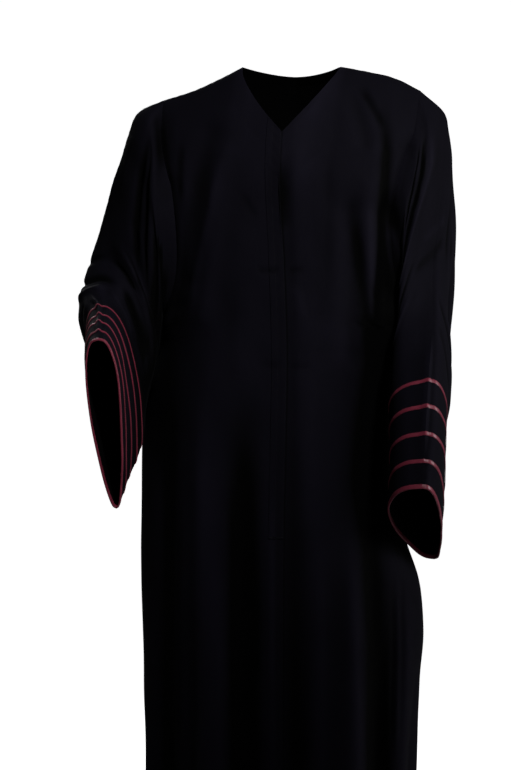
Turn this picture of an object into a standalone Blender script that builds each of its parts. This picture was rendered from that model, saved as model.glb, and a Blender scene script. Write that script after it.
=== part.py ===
# Abaya: a long loose black robe with a V neck, a lapped front and wide straight sleeves
# with wine-coloured tapes.
# Metres, +Z up, the front faces -Y and +X is the wearer's left. The origin is midway
# between the two neck points, where the neck and shoulders carry the garment.
# The cloth is worked out as one form first, and is then parted into its cut pieces.
import math
from collections import namedtuple

import bpy
import numpy as np

# Driving sizes
WALL = 0.0015             # thickness of the cloth
SEAM_GAP = 0.0003         # between two pieces at a seam, and under what lies on the cloth
NECK_HALF = 0.0795        # half the neck's width at the shoulder seams
V_DEPTH = 0.112           # from the neck points down to the tip of the V
V_BOW = 0.75              # 1 is a straight V edge, less bows it outwards
BACK_NECK_DROP = 0.012    # how far the back neck lies below the neck points
NECK_RISE = 0.030         # the shoulder slope carried on to the middle of the neck
UNDERARM_Z = -0.420
TACK_Z = -0.745           # the front is sewn shut below this height
HEM_Z = -1.430
SECTION_POWER = 2.25      # 2 is an ellipse, more is squarer
SHOULDER_ROLL = 0.20      # height over which the cloth turns from shoulder to chest
ROLL_POWER = 0.75

PLACKET_WIDTH = 0.0235
UNDERLAP = 0.025          # how far the left front goes under the right
LAP_INSET = 0.0026        # how far inside it lies there
GAPE = 0.004              # the lap stands off the chest by this
GAPE_Z = -0.215
TRIM = 0.0010             # thickness of placket strip, tapes and bindings
TAPE_WIDTH = 0.006
TAPE_PITCH = 0.042        # from the sleeve's edge to the last tape, and tape to tape
TAPES = 4

# How finely the form is cut up
Counts = namedtuple("Counts", "upper tack skirt neck side")
# rows from shoulder to underarm, to bar tack and to hem, columns at the neck and beyond it
COUNTS = Counts(12, 5, 11, 5, 11)
ROW_CROWDING = 1.35       # rows lie closer together at the shoulder
ARM_RINGS = 12            # from the armhole to the first tape
BELLY_POWER = 0.85        # 1 is a round sleeve section, less is squarer
ARM_CLEARANCE = 0.003     # the sleeves stand this far off the body
EVENINGS = {"sleeve_left_front": 9}  # rounds that even out rows crowded at the armpit
PUSH_POWER = 24           # less makes a softer bend where a sleeve meets that distance
RIM_WAY = (0.37, 0.21, 1.0)  # both sides of a seam are cut alike by their order along this way
DIAGONAL_MARGIN = 0.04    # a patch is cut the other way if that folds less by this

BodyRow = namedtuple("BodyRow", "z right left front back")
BODY = (
    # height, half widths to the wearer's right and left, depths to front and back
    BodyRow(0.00, 0.240, 0.240, 0.114, 0.092),
    BodyRow(-0.10, 0.240, 0.240, 0.118, 0.102),
    BodyRow(-0.20, 0.232, 0.232, 0.124, 0.110),
    BodyRow(-0.32, 0.214, 0.212, 0.130, 0.114),
    BodyRow(-0.42, 0.205, 0.205, 0.134, 0.115),
    BodyRow(-0.44, 0.2045, 0.196, 0.135, 0.115),
    BodyRow(-0.47, 0.212, 0.182, 0.136, 0.115),
    BodyRow(-0.50, 0.224, 0.172, 0.137, 0.116),
    BodyRow(-0.60, 0.240, 0.162, 0.141, 0.120),
    BodyRow(-0.69, 0.242, 0.167, 0.144, 0.126),
    BodyRow(-0.76, 0.243, 0.184, 0.146, 0.130),
    BodyRow(-0.82, 0.243, 0.204, 0.148, 0.133),
    BodyRow(-0.90, 0.241, 0.212, 0.150, 0.136),
    BodyRow(-0.98, 0.236, 0.204, 0.152, 0.140),
    BodyRow(-1.13, 0.230, 0.197, 0.156, 0.148),
    BodyRow(-1.43, 0.224, 0.195, 0.162, 0.158),
)

ShoulderRow = namedtuple("ShoulderRow", "x right left")
SHOULDER = (
    # distance from the middle, height of the seam on the wearer's right and left
    ShoulderRow(0.0795, 0.000, 0.000),
    ShoulderRow(0.120, -0.0186, -0.009),
    ShoulderRow(0.170, -0.0385, -0.022),
    ShoulderRow(0.208, -0.050, -0.040),
)

ArmholeRow = namedtuple("ArmholeRow", "drop front back")
ARMHOLE = (
    # share of the way from shoulder to underarm, half width at the front and back edge
    ArmholeRow(0.00, 0.208, 0.208),
    ArmholeRow(0.20, 0.202, 0.199),
    ArmholeRow(0.40, 0.184, 0.191),
    ArmholeRow(0.60, 0.174, 0.189),
    ArmholeRow(0.80, 0.180, 0.193),
    ArmholeRow(1.00, 0.205, 0.205),
)

LapRow = namedtuple("LapRow", "z x")
LAP_EDGE = (
    LapRow(-1.43, 0.0090),
    LapRow(-0.75, 0.0085),
    LapRow(-0.40, 0.0105),
    LapRow(-0.30, 0.0060),
    LapRow(-0.20, 0.0000),
    LapRow(-0.10, 0.0010),
)

Fold = namedtuple("Fold", "top hem start width depth")
FOLDS = (
    # angles from the middle of the front, height where it starts, half width in degrees,
    # and depth at the hem, in millimetres (a ridge is positive)
    Fold(-34, -36, -0.48, 6.5, -10),
    Fold(-24, -25, -0.48, 6.5, 9),
    Fold(-12, -12, -0.58, 5.5, -11),
    Fold(9, 10, -0.62, 5.5, -7),
    Fold(31, 30, -0.80, 9.0, 9),
    Fold(50, 47, -0.72, 6.5, -12),
    Fold(64, 62, -0.76, 6.5, 8),
    Fold(80, 78, -0.84, 6.5, -8),
    Fold(94, 96, -0.90, 7.5, 7),
    Fold(110, 108, -0.62, 7.0, -12),
    Fold(124, 126, -0.62, 7.5, 9),
    Fold(141, 139, -0.55, 6.5, -11),
    Fold(157, 158, -0.60, 7.5, 9),
    Fold(174, 177, -0.48, 7.0, -13),
    Fold(-170, -167, -0.58, 7.5, 9),
    Fold(-153, -151, -0.55, 6.5, -11),
    Fold(-139, -137, -0.66, 7.0, 8),
    Fold(-122, -124, -0.60, 7.0, -12),
    Fold(-106, -105, -0.62, 7.5, 7),
    Fold(-88, -89, -0.90, 6.5, -8),
    Fold(-70, -68, -0.72, 7.5, 8),
    Fold(-53, -51, -0.68, 6.5, -9),
)

Drape = namedtuple("Drape", "face x1 z1 x2 z2 width depth")
DRAPES = (
    # folds over chest and shoulder blades, from point to point, depths in millimetres
    Drape("front", 0.200, -0.140, 0.172, -0.240, 0.022, -9),
    Drape("front", 0.172, -0.240, 0.166, -0.360, 0.024, -10),
    Drape("front", -0.185, -0.200, -0.172, -0.380, 0.020, -5),
    Drape("front", -0.118, -0.110, -0.150, -0.340, 0.022, -6),
    Drape("front", -0.090, -0.150, -0.120, -0.400, 0.020, 4),
    Drape("front", 0.108, -0.050, 0.132, -0.130, 0.012, -4),
    Drape("front", 0.112, -0.240, 0.120, -0.460, 0.018, -5),
    Drape("front", 0.138, -0.200, 0.140, -0.400, 0.016, 3),
    Drape("back", -0.150, -0.110, -0.110, -0.440, 0.018, -6),
    Drape("back", 0.145, -0.120, 0.105, -0.430, 0.018, -6),
    Drape("back", 0.020, -0.180, 0.010, -0.520, 0.022, -5),
)

# Rings of a sleeve. Each has a point on the top seam and one on the underarm seam. The
# cloth between them bellies out by `front` and `back`. `turn` is the way of the front
# belly, 0 straight forward and 90 towards the body, and `lean` is the way of the back
# belly, 0 straight back and 90 away from the body. `fat` moves both towards the top seam.
Ring = namedtuple("Ring", "at top under turn lean front back fat")
RIGHT_SLEEVE = (
    Ring(0.043, (-0.247, 0.000, -0.073), (-0.219, 0.004, -0.428), 22, 4, 0.096, 0.074, 0.10),
    Ring(0.120, (-0.281, 0.002, -0.146), (-0.224, 0.010, -0.456), 30, 12, 0.106, 0.062, 0.15),
    Ring(0.215, (-0.309, 0.010, -0.235), (-0.226, 0.008, -0.490), 36, 18, 0.109, 0.060, 0.25),
    Ring(0.288, (-0.330, 0.006, -0.302), (-0.227, -0.002, -0.520), 44, 28, 0.102, 0.056, 0.30),
    Ring(0.345, (-0.331, -0.030, -0.345), (-0.228, -0.024, -0.550), 56, 42, 0.092, 0.048, 0.35),
    Ring(0.412, (-0.309, -0.090, -0.365), (-0.229, -0.056, -0.580), 60, 66, 0.046, 0.040, 0.40),
    Ring(0.477, (-0.283, -0.150, -0.384), (-0.230, -0.092, -0.610), 84, 84, 0.030, 0.032, 0.45),
    Ring(0.561, (-0.265, -0.225, -0.411), (-0.232, -0.165, -0.655), 90, 90, 0.025, 0.029, 0.45),
    Ring(0.645, (-0.249, -0.300, -0.437), (-0.235, -0.237, -0.694), 90, 90, 0.023, 0.025, 0.40),
)
LEFT_SLEEVE = (
    Ring(0.045, (0.2390, -0.003, -0.082), (0.219, 0.006, -0.426), 26, 12, 0.104, 0.066, -0.10),
    Ring(0.123, (0.2430, -0.010, -0.165), (0.228, 0.018, -0.453), 28, 28, 0.108, 0.046, -0.05),
    Ring(0.220, (0.2350, -0.030, -0.260), (0.232, 0.032, -0.492), 29, 38, 0.104, 0.034, 0.05),
    Ring(0.310, (0.2310, -0.055, -0.348), (0.232, 0.038, -0.537), 42, 48, 0.084, 0.025, 0.30),
    Ring(0.390, (0.2336, -0.098, -0.420), (0.231, 0.040, -0.582), 60, 62, 0.068, 0.022, 0.40),
    Ring(0.492, (0.2330, -0.148, -0.500), (0.230, 0.034, -0.640), 78, 84, 0.058, 0.021, 0.50),
    Ring(0.576, (0.2310, -0.178, -0.580), (0.231, 0.020, -0.708), 86, 88, 0.056, 0.021, 0.45),
    Ring(0.660, (0.2280, -0.200, -0.661), (0.229, 0.000, -0.784), 90, 90, 0.056, 0.020, 0.25),
)

Crease = namedtuple("Crease", "half at1 turn1 at2 turn2 width depth")
RIGHT_CREASES = (
    # from one point to another of a sleeve half: metres from the armhole, degrees round
    # from the top seam, then half width and depth in millimetres
    Crease("front", 0.06, 45, 0.26, 60, 24, -5),
    Crease("front", 0.31, 30, 0.36, 95, 24, -6),
    Crease("back", 0.30, 30, 0.36, 120, 24, -6),
    Crease("back", 0.40, 50, 0.46, 120, 24, 5),
)
LEFT_CREASES = (
    Crease("front", 0.10, 30, 0.26, 45, 24, 3),
    Crease("back", 0.10, 50, 0.34, 100, 26, -6),
    Crease("back", 0.36, 60, 0.48, 110, 26, 5),
)

SLEEVES = {"right": RIGHT_SLEEVE, "left": LEFT_SLEEVE}
CREASES = {"right": RIGHT_CREASES, "left": LEFT_CREASES}

CRAPE = (0.010, 0.010, 0.014, 1.0)
WINE = (0.150, 0.018, 0.035, 1.0)


def curve(keys, values, at):
    """A smooth curve through a table's values, read at one place or more."""
    keys = np.asarray(keys, float)
    values = np.asarray(values, float)
    at = np.clip(np.asarray(at, float), keys[0], keys[-1])
    slopes = np.gradient(values, keys, axis=0)
    i = np.clip(np.searchsorted(keys, at, side="right") - 1, 0, len(keys) - 2)
    step = keys[i + 1] - keys[i]
    t = (at - keys[i]) / step
    extra = (1,) * (values.ndim - 1)
    step = step.reshape(step.shape + extra)
    t = t.reshape(t.shape + extra)
    return (values[i] * (1 + 2 * t) * (1 - t) ** 2 + slopes[i] * step * t * (1 - t) ** 2
            + values[i + 1] * t ** 2 * (3 - 2 * t) - slopes[i + 1] * step * t ** 2 * (1 - t))


def column(rows, name, key, at):
    """One named column of a table, read smoothly at other places of its key column."""
    ordered = sorted(rows, key=lambda row: getattr(row, key))
    keys = [getattr(row, key) for row in ordered]
    return curve(keys, [getattr(row, name) for row in ordered], at)


def ease(t):
    """0 to 1 with a soft start and end."""
    t = np.clip(t, 0.0, 1.0)
    return t * t * (3 - 2 * t)


def shoulder_height(x, side):
    """Height of the shoulder seam, carried on over the neck as a low cone."""
    inside = NECK_RISE * (1 - x / NECK_HALF)
    seam = column(SHOULDER, side, "x", np.maximum(x, NECK_HALF))
    return np.where(x < NECK_HALF, inside, seam)


def top_edge(x, side, face):
    """Height of a panel's upper edge at a distance from the middle."""
    share = 1 - x / NECK_HALF
    if face == "front":
        neck = np.where(share < 1, -V_DEPTH * np.clip(share, 0, 1) ** V_BOW,
                        -V_DEPTH * (1 + V_BOW * (share - 1)))
    else:
        neck = -BACK_NECK_DROP * (1 - np.clip(x / NECK_HALF, 0, 1) ** 2)
    return np.where(x < NECK_HALF, neck, shoulder_height(x, side))


def to_line(x, z, drape):
    """Distance of points from a drape's line, with soft ends."""
    run = np.array((drape.x2 - drape.x1, drape.z2 - drape.z1))
    length = np.hypot(*run)
    along = ((x - drape.x1) * run[0] + (z - drape.z1) * run[1]) / length ** 2
    kept = np.clip(along, 0.0, 1.0)
    return np.hypot(x - drape.x1 - kept * run[0], z - drape.z1 - kept * run[1])


def fold_depth(angle, z):
    """How far the long folds stand out at an angle and a height."""
    total = np.zeros_like(z)
    for fold in FOLDS:
        grown = ease((fold.start - z) / (0.75 * (fold.start - HEM_Z)))
        middle = fold.top + (fold.hem - fold.top) * grown
        away = (angle - middle + 180) % 360 - 180
        total += grown * fold.depth * 0.001 * np.exp(-(away / fold.width) ** 2)
    return total


def body_point(x, z, side, face):
    """A point on the robe's outer face, from its distance to the middle and its height."""
    half = column(BODY, side, "z", z)
    depth = column(BODY, face, "z", z)
    rise = np.clip((shoulder_height(np.abs(x), side) - z) / SHOULDER_ROLL, 0, 1)
    roll = np.clip(1 - (1 - rise) ** 2, 0, 1) ** ROLL_POWER
    across = np.clip(np.abs(x) / half, 0, 1)
    cosine = np.clip(1 - across ** SECTION_POWER, 0, 1) ** (1 / SECTION_POWER)
    sign_x = 1 if side == "left" else -1
    sign_y = -1 if face == "front" else 1
    y = sign_y * depth * roll * cosine
    x = sign_x * x
    angle = np.degrees(np.arctan2(x / half, -y / depth))
    out = np.stack((x / half ** 2, y / depth ** 2), axis=-1)
    out /= np.maximum(np.linalg.norm(out, axis=-1, keepdims=True), 1e-6)
    lift = fold_depth(angle, z)
    kept = roll * ease((1 - across) / 0.15)
    for drape in DRAPES:
        if drape.face == face:
            away = to_line(x, z, drape)
            lift = lift + drape.depth * 0.001 * np.exp(-(away / drape.width) ** 2) * kept
    return np.stack((x + lift * out[..., 0], y + lift * out[..., 1], z), axis=-1)


def row_heights(counts):
    """Heights of the rows from the underarm down to the hem."""
    upper = np.linspace(UNDERARM_Z, TACK_Z, counts.tack + 1)
    lower = np.linspace(TACK_Z, HEM_Z, counts.skirt + 1)
    return np.concatenate((upper, lower[1:]))


def panel_grid(side, face, inner_columns, counts):
    """Points of a body panel, row by row, from the middle to its armhole or side seam.

    `inner_columns` gives, for a height, the distances from the middle of the first
    columns; the others are spread to the side.
    """
    drops = np.linspace(0, 1, counts.upper + 1) ** ROW_CROWDING
    edge = column(ARMHOLE, face, "drop", drops)
    below = row_heights(counts)[1:]
    rows = []
    edge_top = float(shoulder_height(np.array(edge[0]), side))
    for number in range(counts.upper + 1 + len(below)):
        if number <= counts.upper:
            drop, limit = drops[number], edge[number]
            z_edge = edge_top + (UNDERARM_Z - edge_top) * drop
        else:
            drop, z_edge = 1.0, below[number - counts.upper - 1]
            limit = float(column(BODY, side, "z", z_edge))
        half = float(column(BODY, side, "z", z_edge))
        share = min(limit / half, 1.0) ** (SECTION_POWER / 2)
        last = math.asin(share)
        neck_share = (NECK_HALF / 0.240) ** (SECTION_POWER / 2)
        full = (0.208 / 0.240) ** (SECTION_POWER / 2)
        neck_at = math.asin(neck_share) / math.asin(full)
        spread = np.concatenate((
            np.linspace(0, neck_at, counts.neck + 1),
            np.linspace(neck_at, 1, counts.side + 1)[1:]))
        x = half * np.sin(spread * last) ** (2 / SECTION_POWER)
        if number == 0:
            x[counts.neck] = NECK_HALF
        first = inner_columns(z_edge if number > counts.upper else
                              -V_DEPTH * (1 - drop) + UNDERARM_Z * drop)
        start = len(first)
        kept = x[np.arange(len(x)) >= counts.neck]
        between = np.linspace(first[-1], kept[0], counts.neck - start + 2)[1:-1]
        x = np.concatenate((first, between, kept))
        if number <= counts.upper:
            top = top_edge(x, side, face)
            z = top + (UNDERARM_Z - top) * drop
        else:
            z = np.full_like(x, z_edge)
        rows.append(body_point(x, z, side, face))
    return np.array(rows)


def lap_x(z):
    return float(column(LAP_EDGE, "x", "z", z))


def right_columns(z):
    """The right front starts at its edge, past the middle, and its strip ends here."""
    return [-lap_x(z), -lap_x(z) + PLACKET_WIDTH]


def left_columns(z):
    """The left front starts under the right one."""
    return [lap_x(z) - UNDERLAP, lap_x(z) + 0.003]


def back_columns(z):
    return [0.0]


def grid_normals(grids):
    """Normals of all the grids together, shared where their points meet."""
    points = np.concatenate([grid.points.reshape(-1, 3) for grid in grids])
    keys = np.round(points / 2e-5).astype(np.int64)
    unique, index = np.unique(keys, axis=0, return_inverse=True)
    index = index.reshape(-1)
    total = np.zeros((len(unique), 3))
    start = 0
    for grid in grids:
        rows, columns = grid.points.shape[:2]
        own = index[start:start + rows * columns].reshape(rows, columns)
        start += rows * columns
        p = grid.points
        area = np.cross(p[1:, 1:] - p[:-1, :-1], p[1:, :-1] - p[:-1, 1:])
        area = area if grid.turned else -area
        for corner in (own[:-1, :-1], own[1:, :-1], own[:-1, 1:], own[1:, 1:]):
            np.add.at(total, corner.reshape(-1), area.reshape(-1, 3))
    total /= np.maximum(np.linalg.norm(total, axis=1, keepdims=True), 1e-12)
    start = 0
    for grid in grids:
        count = grid.points.shape[0] * grid.points.shape[1]
        grid.normals = total[index[start:start + count]].reshape(grid.points.shape)
        start += count


class Grid:
    """A piece of cloth as rows of points on its outer face."""

    def __init__(self, name, points, turned):
        self.name = name
        self.points = points
        self.turned = turned
        self.normals = None


def sleeve_half(rings, edge, half, side, places):
    """Points of a sleeve half: one row for each place along the sleeve."""
    count = len(edge)
    even = np.linspace(0, math.pi, count)
    crowded = np.arccos(1 - 2 * np.linspace(0, 1, count) ** ROW_CROWDING)
    inwards = -1 if side == "left" else 1
    sign = 1 if half == "front" else -1
    keys = [0.0]
    key_rings = [edge]
    for ring in rings:
        top, under = np.array(ring.top), np.array(ring.under)
        turn = math.radians(ring.turn if half == "front" else ring.lean)
        belly = sign * np.array((inwards * math.sin(turn), -math.cos(turn), 0.0))
        chord = (top - under) / np.linalg.norm(top - under)
        belly = belly - chord * belly.dot(chord)
        belly /= np.linalg.norm(belly)
        width = ring.front if half == "front" else ring.back
        share = ease(ring.at / 0.20)
        round_angle = crowded + (even - crowded) * share
        bulge = width * np.sin(round_angle) ** BELLY_POWER
        bulge = bulge * (1 + ring.fat * np.cos(round_angle))
        key_rings.append((top + under) / 2 + np.outer(np.cos(round_angle), (top - under) / 2)
                         + np.outer(bulge, belly))
        keys.append(ring.at)
    return curve(keys, np.array(key_rings), places)


def clear_of_body(points, side):
    """Move a sleeve's points out until they stand clear of the body's own form."""
    x, y, z = np.abs(points[..., 0]), np.abs(points[..., 1]), points[..., 2]
    half = column(BODY, side, "z", z)
    depth = np.where(points[..., 1] < 0, column(BODY, "front", "z", z),
                     column(BODY, "back", "z", z))
    rise = np.clip((shoulder_height(x, side) - z) / SHOULDER_ROLL, 0.01, 1)
    depth = depth * (1 - (1 - rise) ** 2) ** ROLL_POWER
    reach = ((x / half) ** SECTION_POWER + (y / depth) ** SECTION_POWER) ** (1 / SECTION_POWER)
    wanted = 1 + ARM_CLEARANCE / half
    reach = np.maximum(reach, 0.1)
    push = (reach ** PUSH_POWER + wanted ** PUSH_POWER) ** (1 / PUSH_POWER) / reach
    push[0] = 1
    moved = points.copy()
    moved[..., :2] *= push[..., None]
    return moved


def evened(points, rounds):
    """Even out a sleeve's rows where they crowd at the armpit, but not at its seams."""
    moved = points.copy()
    from_seam = np.minimum(np.arange(points.shape[1]), np.arange(points.shape[1])[::-1])
    share = ease(from_seam / 3)[:, None] / 2
    for _ in range(rounds):
        between = (moved[:-2] + moved[2:]) / 2
        step = (between - moved[1:-1]) * share
        moved[1:ARM_RINGS] += step[:ARM_RINGS - 1]
    return moved


def crease(points, normals, places, half, creases):
    """Push the creases of a sleeve half in or out, none of them at its two ends."""
    turn = np.linspace(0, 180, points.shape[1])
    arm, angle = np.meshgrid(places, turn, indexing="ij")
    around = 0.0016
    total = np.zeros_like(arm)
    for row in creases:
        if row.half != half:
            continue
        run = np.array((row.at2 - row.at1, (row.turn2 - row.turn1) * around))
        along = ((arm - row.at1) * run[0] + (angle - row.turn1) * around * run[1])
        kept = np.clip(along / run.dot(run), 0, 1)
        away = np.hypot(arm - row.at1 - kept * run[0],
                        (angle - row.turn1) * around - kept * run[1])
        total += row.depth * 0.001 * np.exp(-(away / (row.width * 0.001)) ** 2)
    ends = ease(arm / 0.05) * ease((places[-1] - 0.19 - arm) / 0.03)
    seam = ease(angle / 12) * ease((180 - angle) / 12)
    return points + normals * (total * ends * seam)[..., None]


def sleeve_places(length):
    """Distances along the sleeve where a row of points lies."""
    first = length - TAPES * TAPE_PITCH - TAPE_WIDTH / 2
    places = list(np.linspace(0, first, ARM_RINGS + 1))
    for number in range(TAPES, 0, -1):
        middle = length - number * TAPE_PITCH
        if number < TAPES:
            places.append(middle - TAPE_WIDTH / 2)
        places.append(middle + TAPE_WIDTH / 2)
    places.append(length - TAPE_WIDTH)
    places.append(length)
    return np.array(places)


def body_grids(counts):
    """The two fronts and the back, by name."""
    right = panel_grid("right", "back", back_columns, counts)
    left = panel_grid("left", "back", back_columns, counts)
    whole = np.concatenate((right[:, :0:-1], left), axis=1)
    right_front = panel_grid("right", "front", right_columns, counts)
    left_front = panel_grid("left", "front", left_columns, counts)
    return {
        "front_right": Grid("front_right", right_front, True),
        "front_left": Grid("front_left", left_front, False),
        "back": Grid("back", whole, True),
    }


def sleeve_grids(body):
    """The four sleeve halves, each from its armhole edge to its cuff, by name."""
    arm = COUNTS.upper + 1
    edges = {
        "sleeve_right_front": body["front_right"].points[:arm, -1],
        "sleeve_right_back": body["back"].points[:arm, 0],
        "sleeve_left_front": body["front_left"].points[:arm, -1],
        "sleeve_left_back": body["back"].points[:arm, -1],
    }
    grids = {}
    for name, edge in edges.items():
        side, half = name.split("_")[1:]
        rings = SLEEVES[side]
        points = sleeve_half(rings, edge, half, side, sleeve_places(rings[-1].at))
        points = clear_of_body(evened(points, EVENINGS.get(name, 0)), side)
        grids[name] = Grid(name, points, (side == "right") != (half == "front"))
    return grids


def build_form():
    """All the cloth as one form: a dictionary of grids with shared normals."""
    grids = body_grids(COUNTS)
    grids.update(sleeve_grids(grids))
    grid_normals(list(grids.values()))
    for name, grid in grids.items():
        if name.startswith("sleeve"):
            side, half = name.split("_")[1:]
            places = sleeve_places(SLEEVES[side][-1].at)
            grid.points = crease(grid.points, grid.normals, places, half, CREASES[side])
    grid_normals(list(grids.values()))
    tuck_under_lap(grids["front_left"])
    open_lap(grids["front_right"])
    return grids


def tuck_under_lap(grid):
    """The left front lies inside the right one where they overlap."""
    for row, normals in zip(grid.points, grid.normals):
        lap = lap_x(row[0, 2])
        share = ease((lap + 0.022 - row[:, 0]) / 0.016)
        row -= normals * (LAP_INSET * share)[:, None]


def open_lap(grid):
    """The edge of the right front stands a little off the chest."""
    edge = grid.points[:, 0]
    edge[:, 1] -= GAPE * np.exp(-((edge[:, 2] - GAPE_Z) / 0.045) ** 2)


def drawn_in(grid, sides, top_from=None):
    """A grid's points with the named edges pulled in by half a seam gap.

    They move square to the seam and to the cloth's normal, so the walls on both sides of
    the seam stay side by side. `top_from` limits the first row to points that far out.
    """
    points = grid.points.copy()
    for side in sides:
        if side == "first_row":
            line, inner, normals = points[0], grid.points[1], grid.normals[0]
        elif side == "first_column":
            line, inner, normals = points[:, 0], grid.points[:, 1], grid.normals[:, 0]
        else:
            line, inner, normals = points[:, -1], grid.points[:, -2], grid.normals[:, -1]
        way = np.cross(np.gradient(line, axis=0), normals)
        way /= np.maximum(np.linalg.norm(way, axis=1, keepdims=True), 1e-9)
        inwards = np.sign(np.sum(way * (inner - line), axis=1, keepdims=True))
        step = way * inwards * SEAM_GAP / 2
        if side == "first_row" and top_from is not None:
            step *= (np.abs(line[:, :1]) > top_from)
        line += step
    return points


def agreement(outer, normals, cells):
    """How well the triangles' own directions match the normals at their corners."""
    worst = 1.0
    for cell in cells:
        a, b, c = (outer[place] for place in cell)
        way = np.cross(b - a, c - a)
        way /= max(np.linalg.norm(way), 1e-12)
        worst = min(worst, *(way.dot(normals[place]) for place in cell))
    return worst


def rising_diagonals(outer, normals, turned):
    """Cells of a grid that fold less when they are cut along the rising diagonal."""
    facing = -normals if turned else normals
    chosen = set()
    for i in range(outer.shape[0] - 1):
        for j in range(outer.shape[1] - 1):
            a, b, c, d = (i, j), (i + 1, j), (i + 1, j + 1), (i, j + 1)
            falling = agreement(outer, facing, ((a, b, c), (a, c, d)))
            rising = agreement(outer, facing, ((b, c, d), (b, d, a)))
            if rising > falling + DIAGONAL_MARGIN:
                chosen.add((i, j))
    return chosen


def wall_mesh(name, outer, inner, turned):
    """A closed wall between two like grids, both cut along the same diagonals."""
    rows, columns = outer.shape[:2]
    verts = np.concatenate((outer.reshape(-1, 3), inner.reshape(-1, 3)))
    shift = rows * columns
    normals = outer - inner
    normals /= np.linalg.norm(normals, axis=2, keepdims=True)
    rising_cells = rising_diagonals(outer, normals, turned)
    faces = []

    def add(*corners):
        """A triangle, listed so that it faces outwards."""
        faces.append(corners[::-1] if turned else corners)

    def rim(a, b):
        """The wall's edge from one point to the next, cut alike on both sides of a seam."""
        if verts[a].dot(RIM_WAY) > verts[b].dot(RIM_WAY):
            add(a, b, b + shift)
            add(a, b + shift, a + shift)
        else:
            add(a, b, a + shift)
            add(b, b + shift, a + shift)

    for i in range(rows - 1):
        for j in range(columns - 1):
            a = i * columns + j
            ring = [a, a + columns, a + columns + 1, a + 1]
            if (i, j) in rising_cells:
                ring = ring[1:] + ring[:1]
            back = [corner + shift for corner in ring]
            add(ring[0], ring[1], ring[2])
            add(ring[0], ring[2], ring[3])
            add(back[0], back[3], back[2])
            add(back[0], back[2], back[1])
    for j in range(columns - 1):
        last = (rows - 1) * columns + j
        rim(j, j + 1)
        rim(last + 1, last)
    for i in range(rows - 1):
        a = i * columns
        b = a + columns - 1
        rim(a + columns, a)
        rim(b, b + columns)
    mesh = bpy.data.meshes.new(name)
    mesh.from_pydata([tuple(v) for v in verts], [], faces)
    mesh.validate()
    return mesh


def add_object(name, mesh, material, collection):
    mesh.materials.append(material)
    mesh.shade_smooth()
    mesh.set_sharp_from_angle(angle=math.radians(40))
    thing = bpy.data.objects.new(name, mesh)
    collection.objects.link(thing)
    return thing


def make_material(name, colour, roughness):
    material = bpy.data.materials.new(name)
    material.use_nodes = True
    shader = material.node_tree.nodes["Principled BSDF"]
    shader.inputs["Base Color"].default_value = colour
    shader.inputs["Roughness"].default_value = roughness
    shader.inputs["Metallic"].default_value = 0.0
    return material


def cloth_panel(grid, material, collection):
    """One cut piece of the cloth as a closed wall."""
    if grid.name.startswith("sleeve"):
        outer = drawn_in(grid, ("first_row", "first_column", "last_column"))
    elif grid.name == "back":
        outer = drawn_in(grid, ("first_column", "last_column", "first_row"), NECK_HALF - 0.001)
    else:
        outer = drawn_in(grid, ("last_column", "first_row"), NECK_HALF - 0.001)
    inner = outer - grid.normals * WALL
    mesh = wall_mesh(grid.name, outer, inner, grid.turned)
    return add_object(grid.name, mesh, material, collection)


def trim_strip(name, points, normals, turned, lift, material, collection):
    """A flat strip that lies on the cloth, made from the cloth's own points."""
    inner = points + normals * lift
    outer = inner + normals * TRIM
    mesh = wall_mesh(name, outer, inner, turned)
    return add_object(name, mesh, material, collection)


def placket_strip(grid, material, collection):
    """The strip along the right front's edge, down to the bar tack."""
    last = COUNTS.upper + COUNTS.tack
    points = grid.points[:last + 1, :2]
    normals = grid.normals[:last + 1, :2]
    return trim_strip("placket", points, normals, grid.turned, SEAM_GAP, material, collection)


def sleeve_tapes(grid, material, collection):
    """The four tapes on one half of a sleeve, numbered from the edge upwards."""
    outer = drawn_in(grid, ("first_column", "last_column"))
    label = grid.name.replace("sleeve", "tape")
    for number in range(TAPES):
        row = len(outer) - 4 - 2 * number
        trim_strip(f"{label}_{number + 1}", outer[row:row + 2], grid.normals[row:row + 2],
                   grid.turned, SEAM_GAP, material, collection)


def cuff_binding(grid, material, collection):
    """A binding folded round the edge of one half of a sleeve."""
    outer = drawn_in(grid, ("first_column", "last_column"))
    edge, normals = outer[-1], grid.normals[-1]
    above = outer[-2] - edge
    above /= np.linalg.norm(above, axis=1, keepdims=True)
    inside = WALL + SEAM_GAP
    section = (
        # distance above the edge, distance out from the cloth's outer face
        (TAPE_WIDTH, SEAM_GAP + TRIM),
        (TAPE_WIDTH, SEAM_GAP),
        (-SEAM_GAP, SEAM_GAP),
        (-SEAM_GAP, -inside),
        (TAPE_WIDTH, -inside),
        (TAPE_WIDTH, -inside - TRIM),
        (-SEAM_GAP - TRIM, -inside - TRIM),
        (-SEAM_GAP - TRIM, SEAM_GAP + TRIM),
    )
    rings = [edge + above * up + normals * out for up, out in section]
    name = grid.name.replace("sleeve", "binding")
    count, columns = len(section), len(edge)
    verts = np.concatenate(rings)
    faces = []

    def quad(a, b, c, d):
        corners = (a, d, c, b) if grid.turned else (a, b, c, d)
        faces.append(corners[:3])
        faces.append((corners[0], corners[2], corners[3]))

    for k in range(count):
        for j in range(columns - 1):
            a = k * columns + j
            b = ((k + 1) % count) * columns + j
            quad(a, a + 1, b + 1, b)
    for j in (0, columns - 1):
        corner = [k * columns + j for k in range(count)]
        ends = ((0, 1, 2, 7), (7, 2, 3, 6), (6, 3, 4, 5))
        for a, b, c, d in ends:
            four = [corner[a], corner[b], corner[c], corner[d]]
            if j == columns - 1:
                four.reverse()
            quad(*four)
    mesh = bpy.data.meshes.new(name)
    mesh.from_pydata([tuple(v) for v in verts], [], faces)
    mesh.validate()
    return add_object(name, mesh, material, collection)


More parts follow.
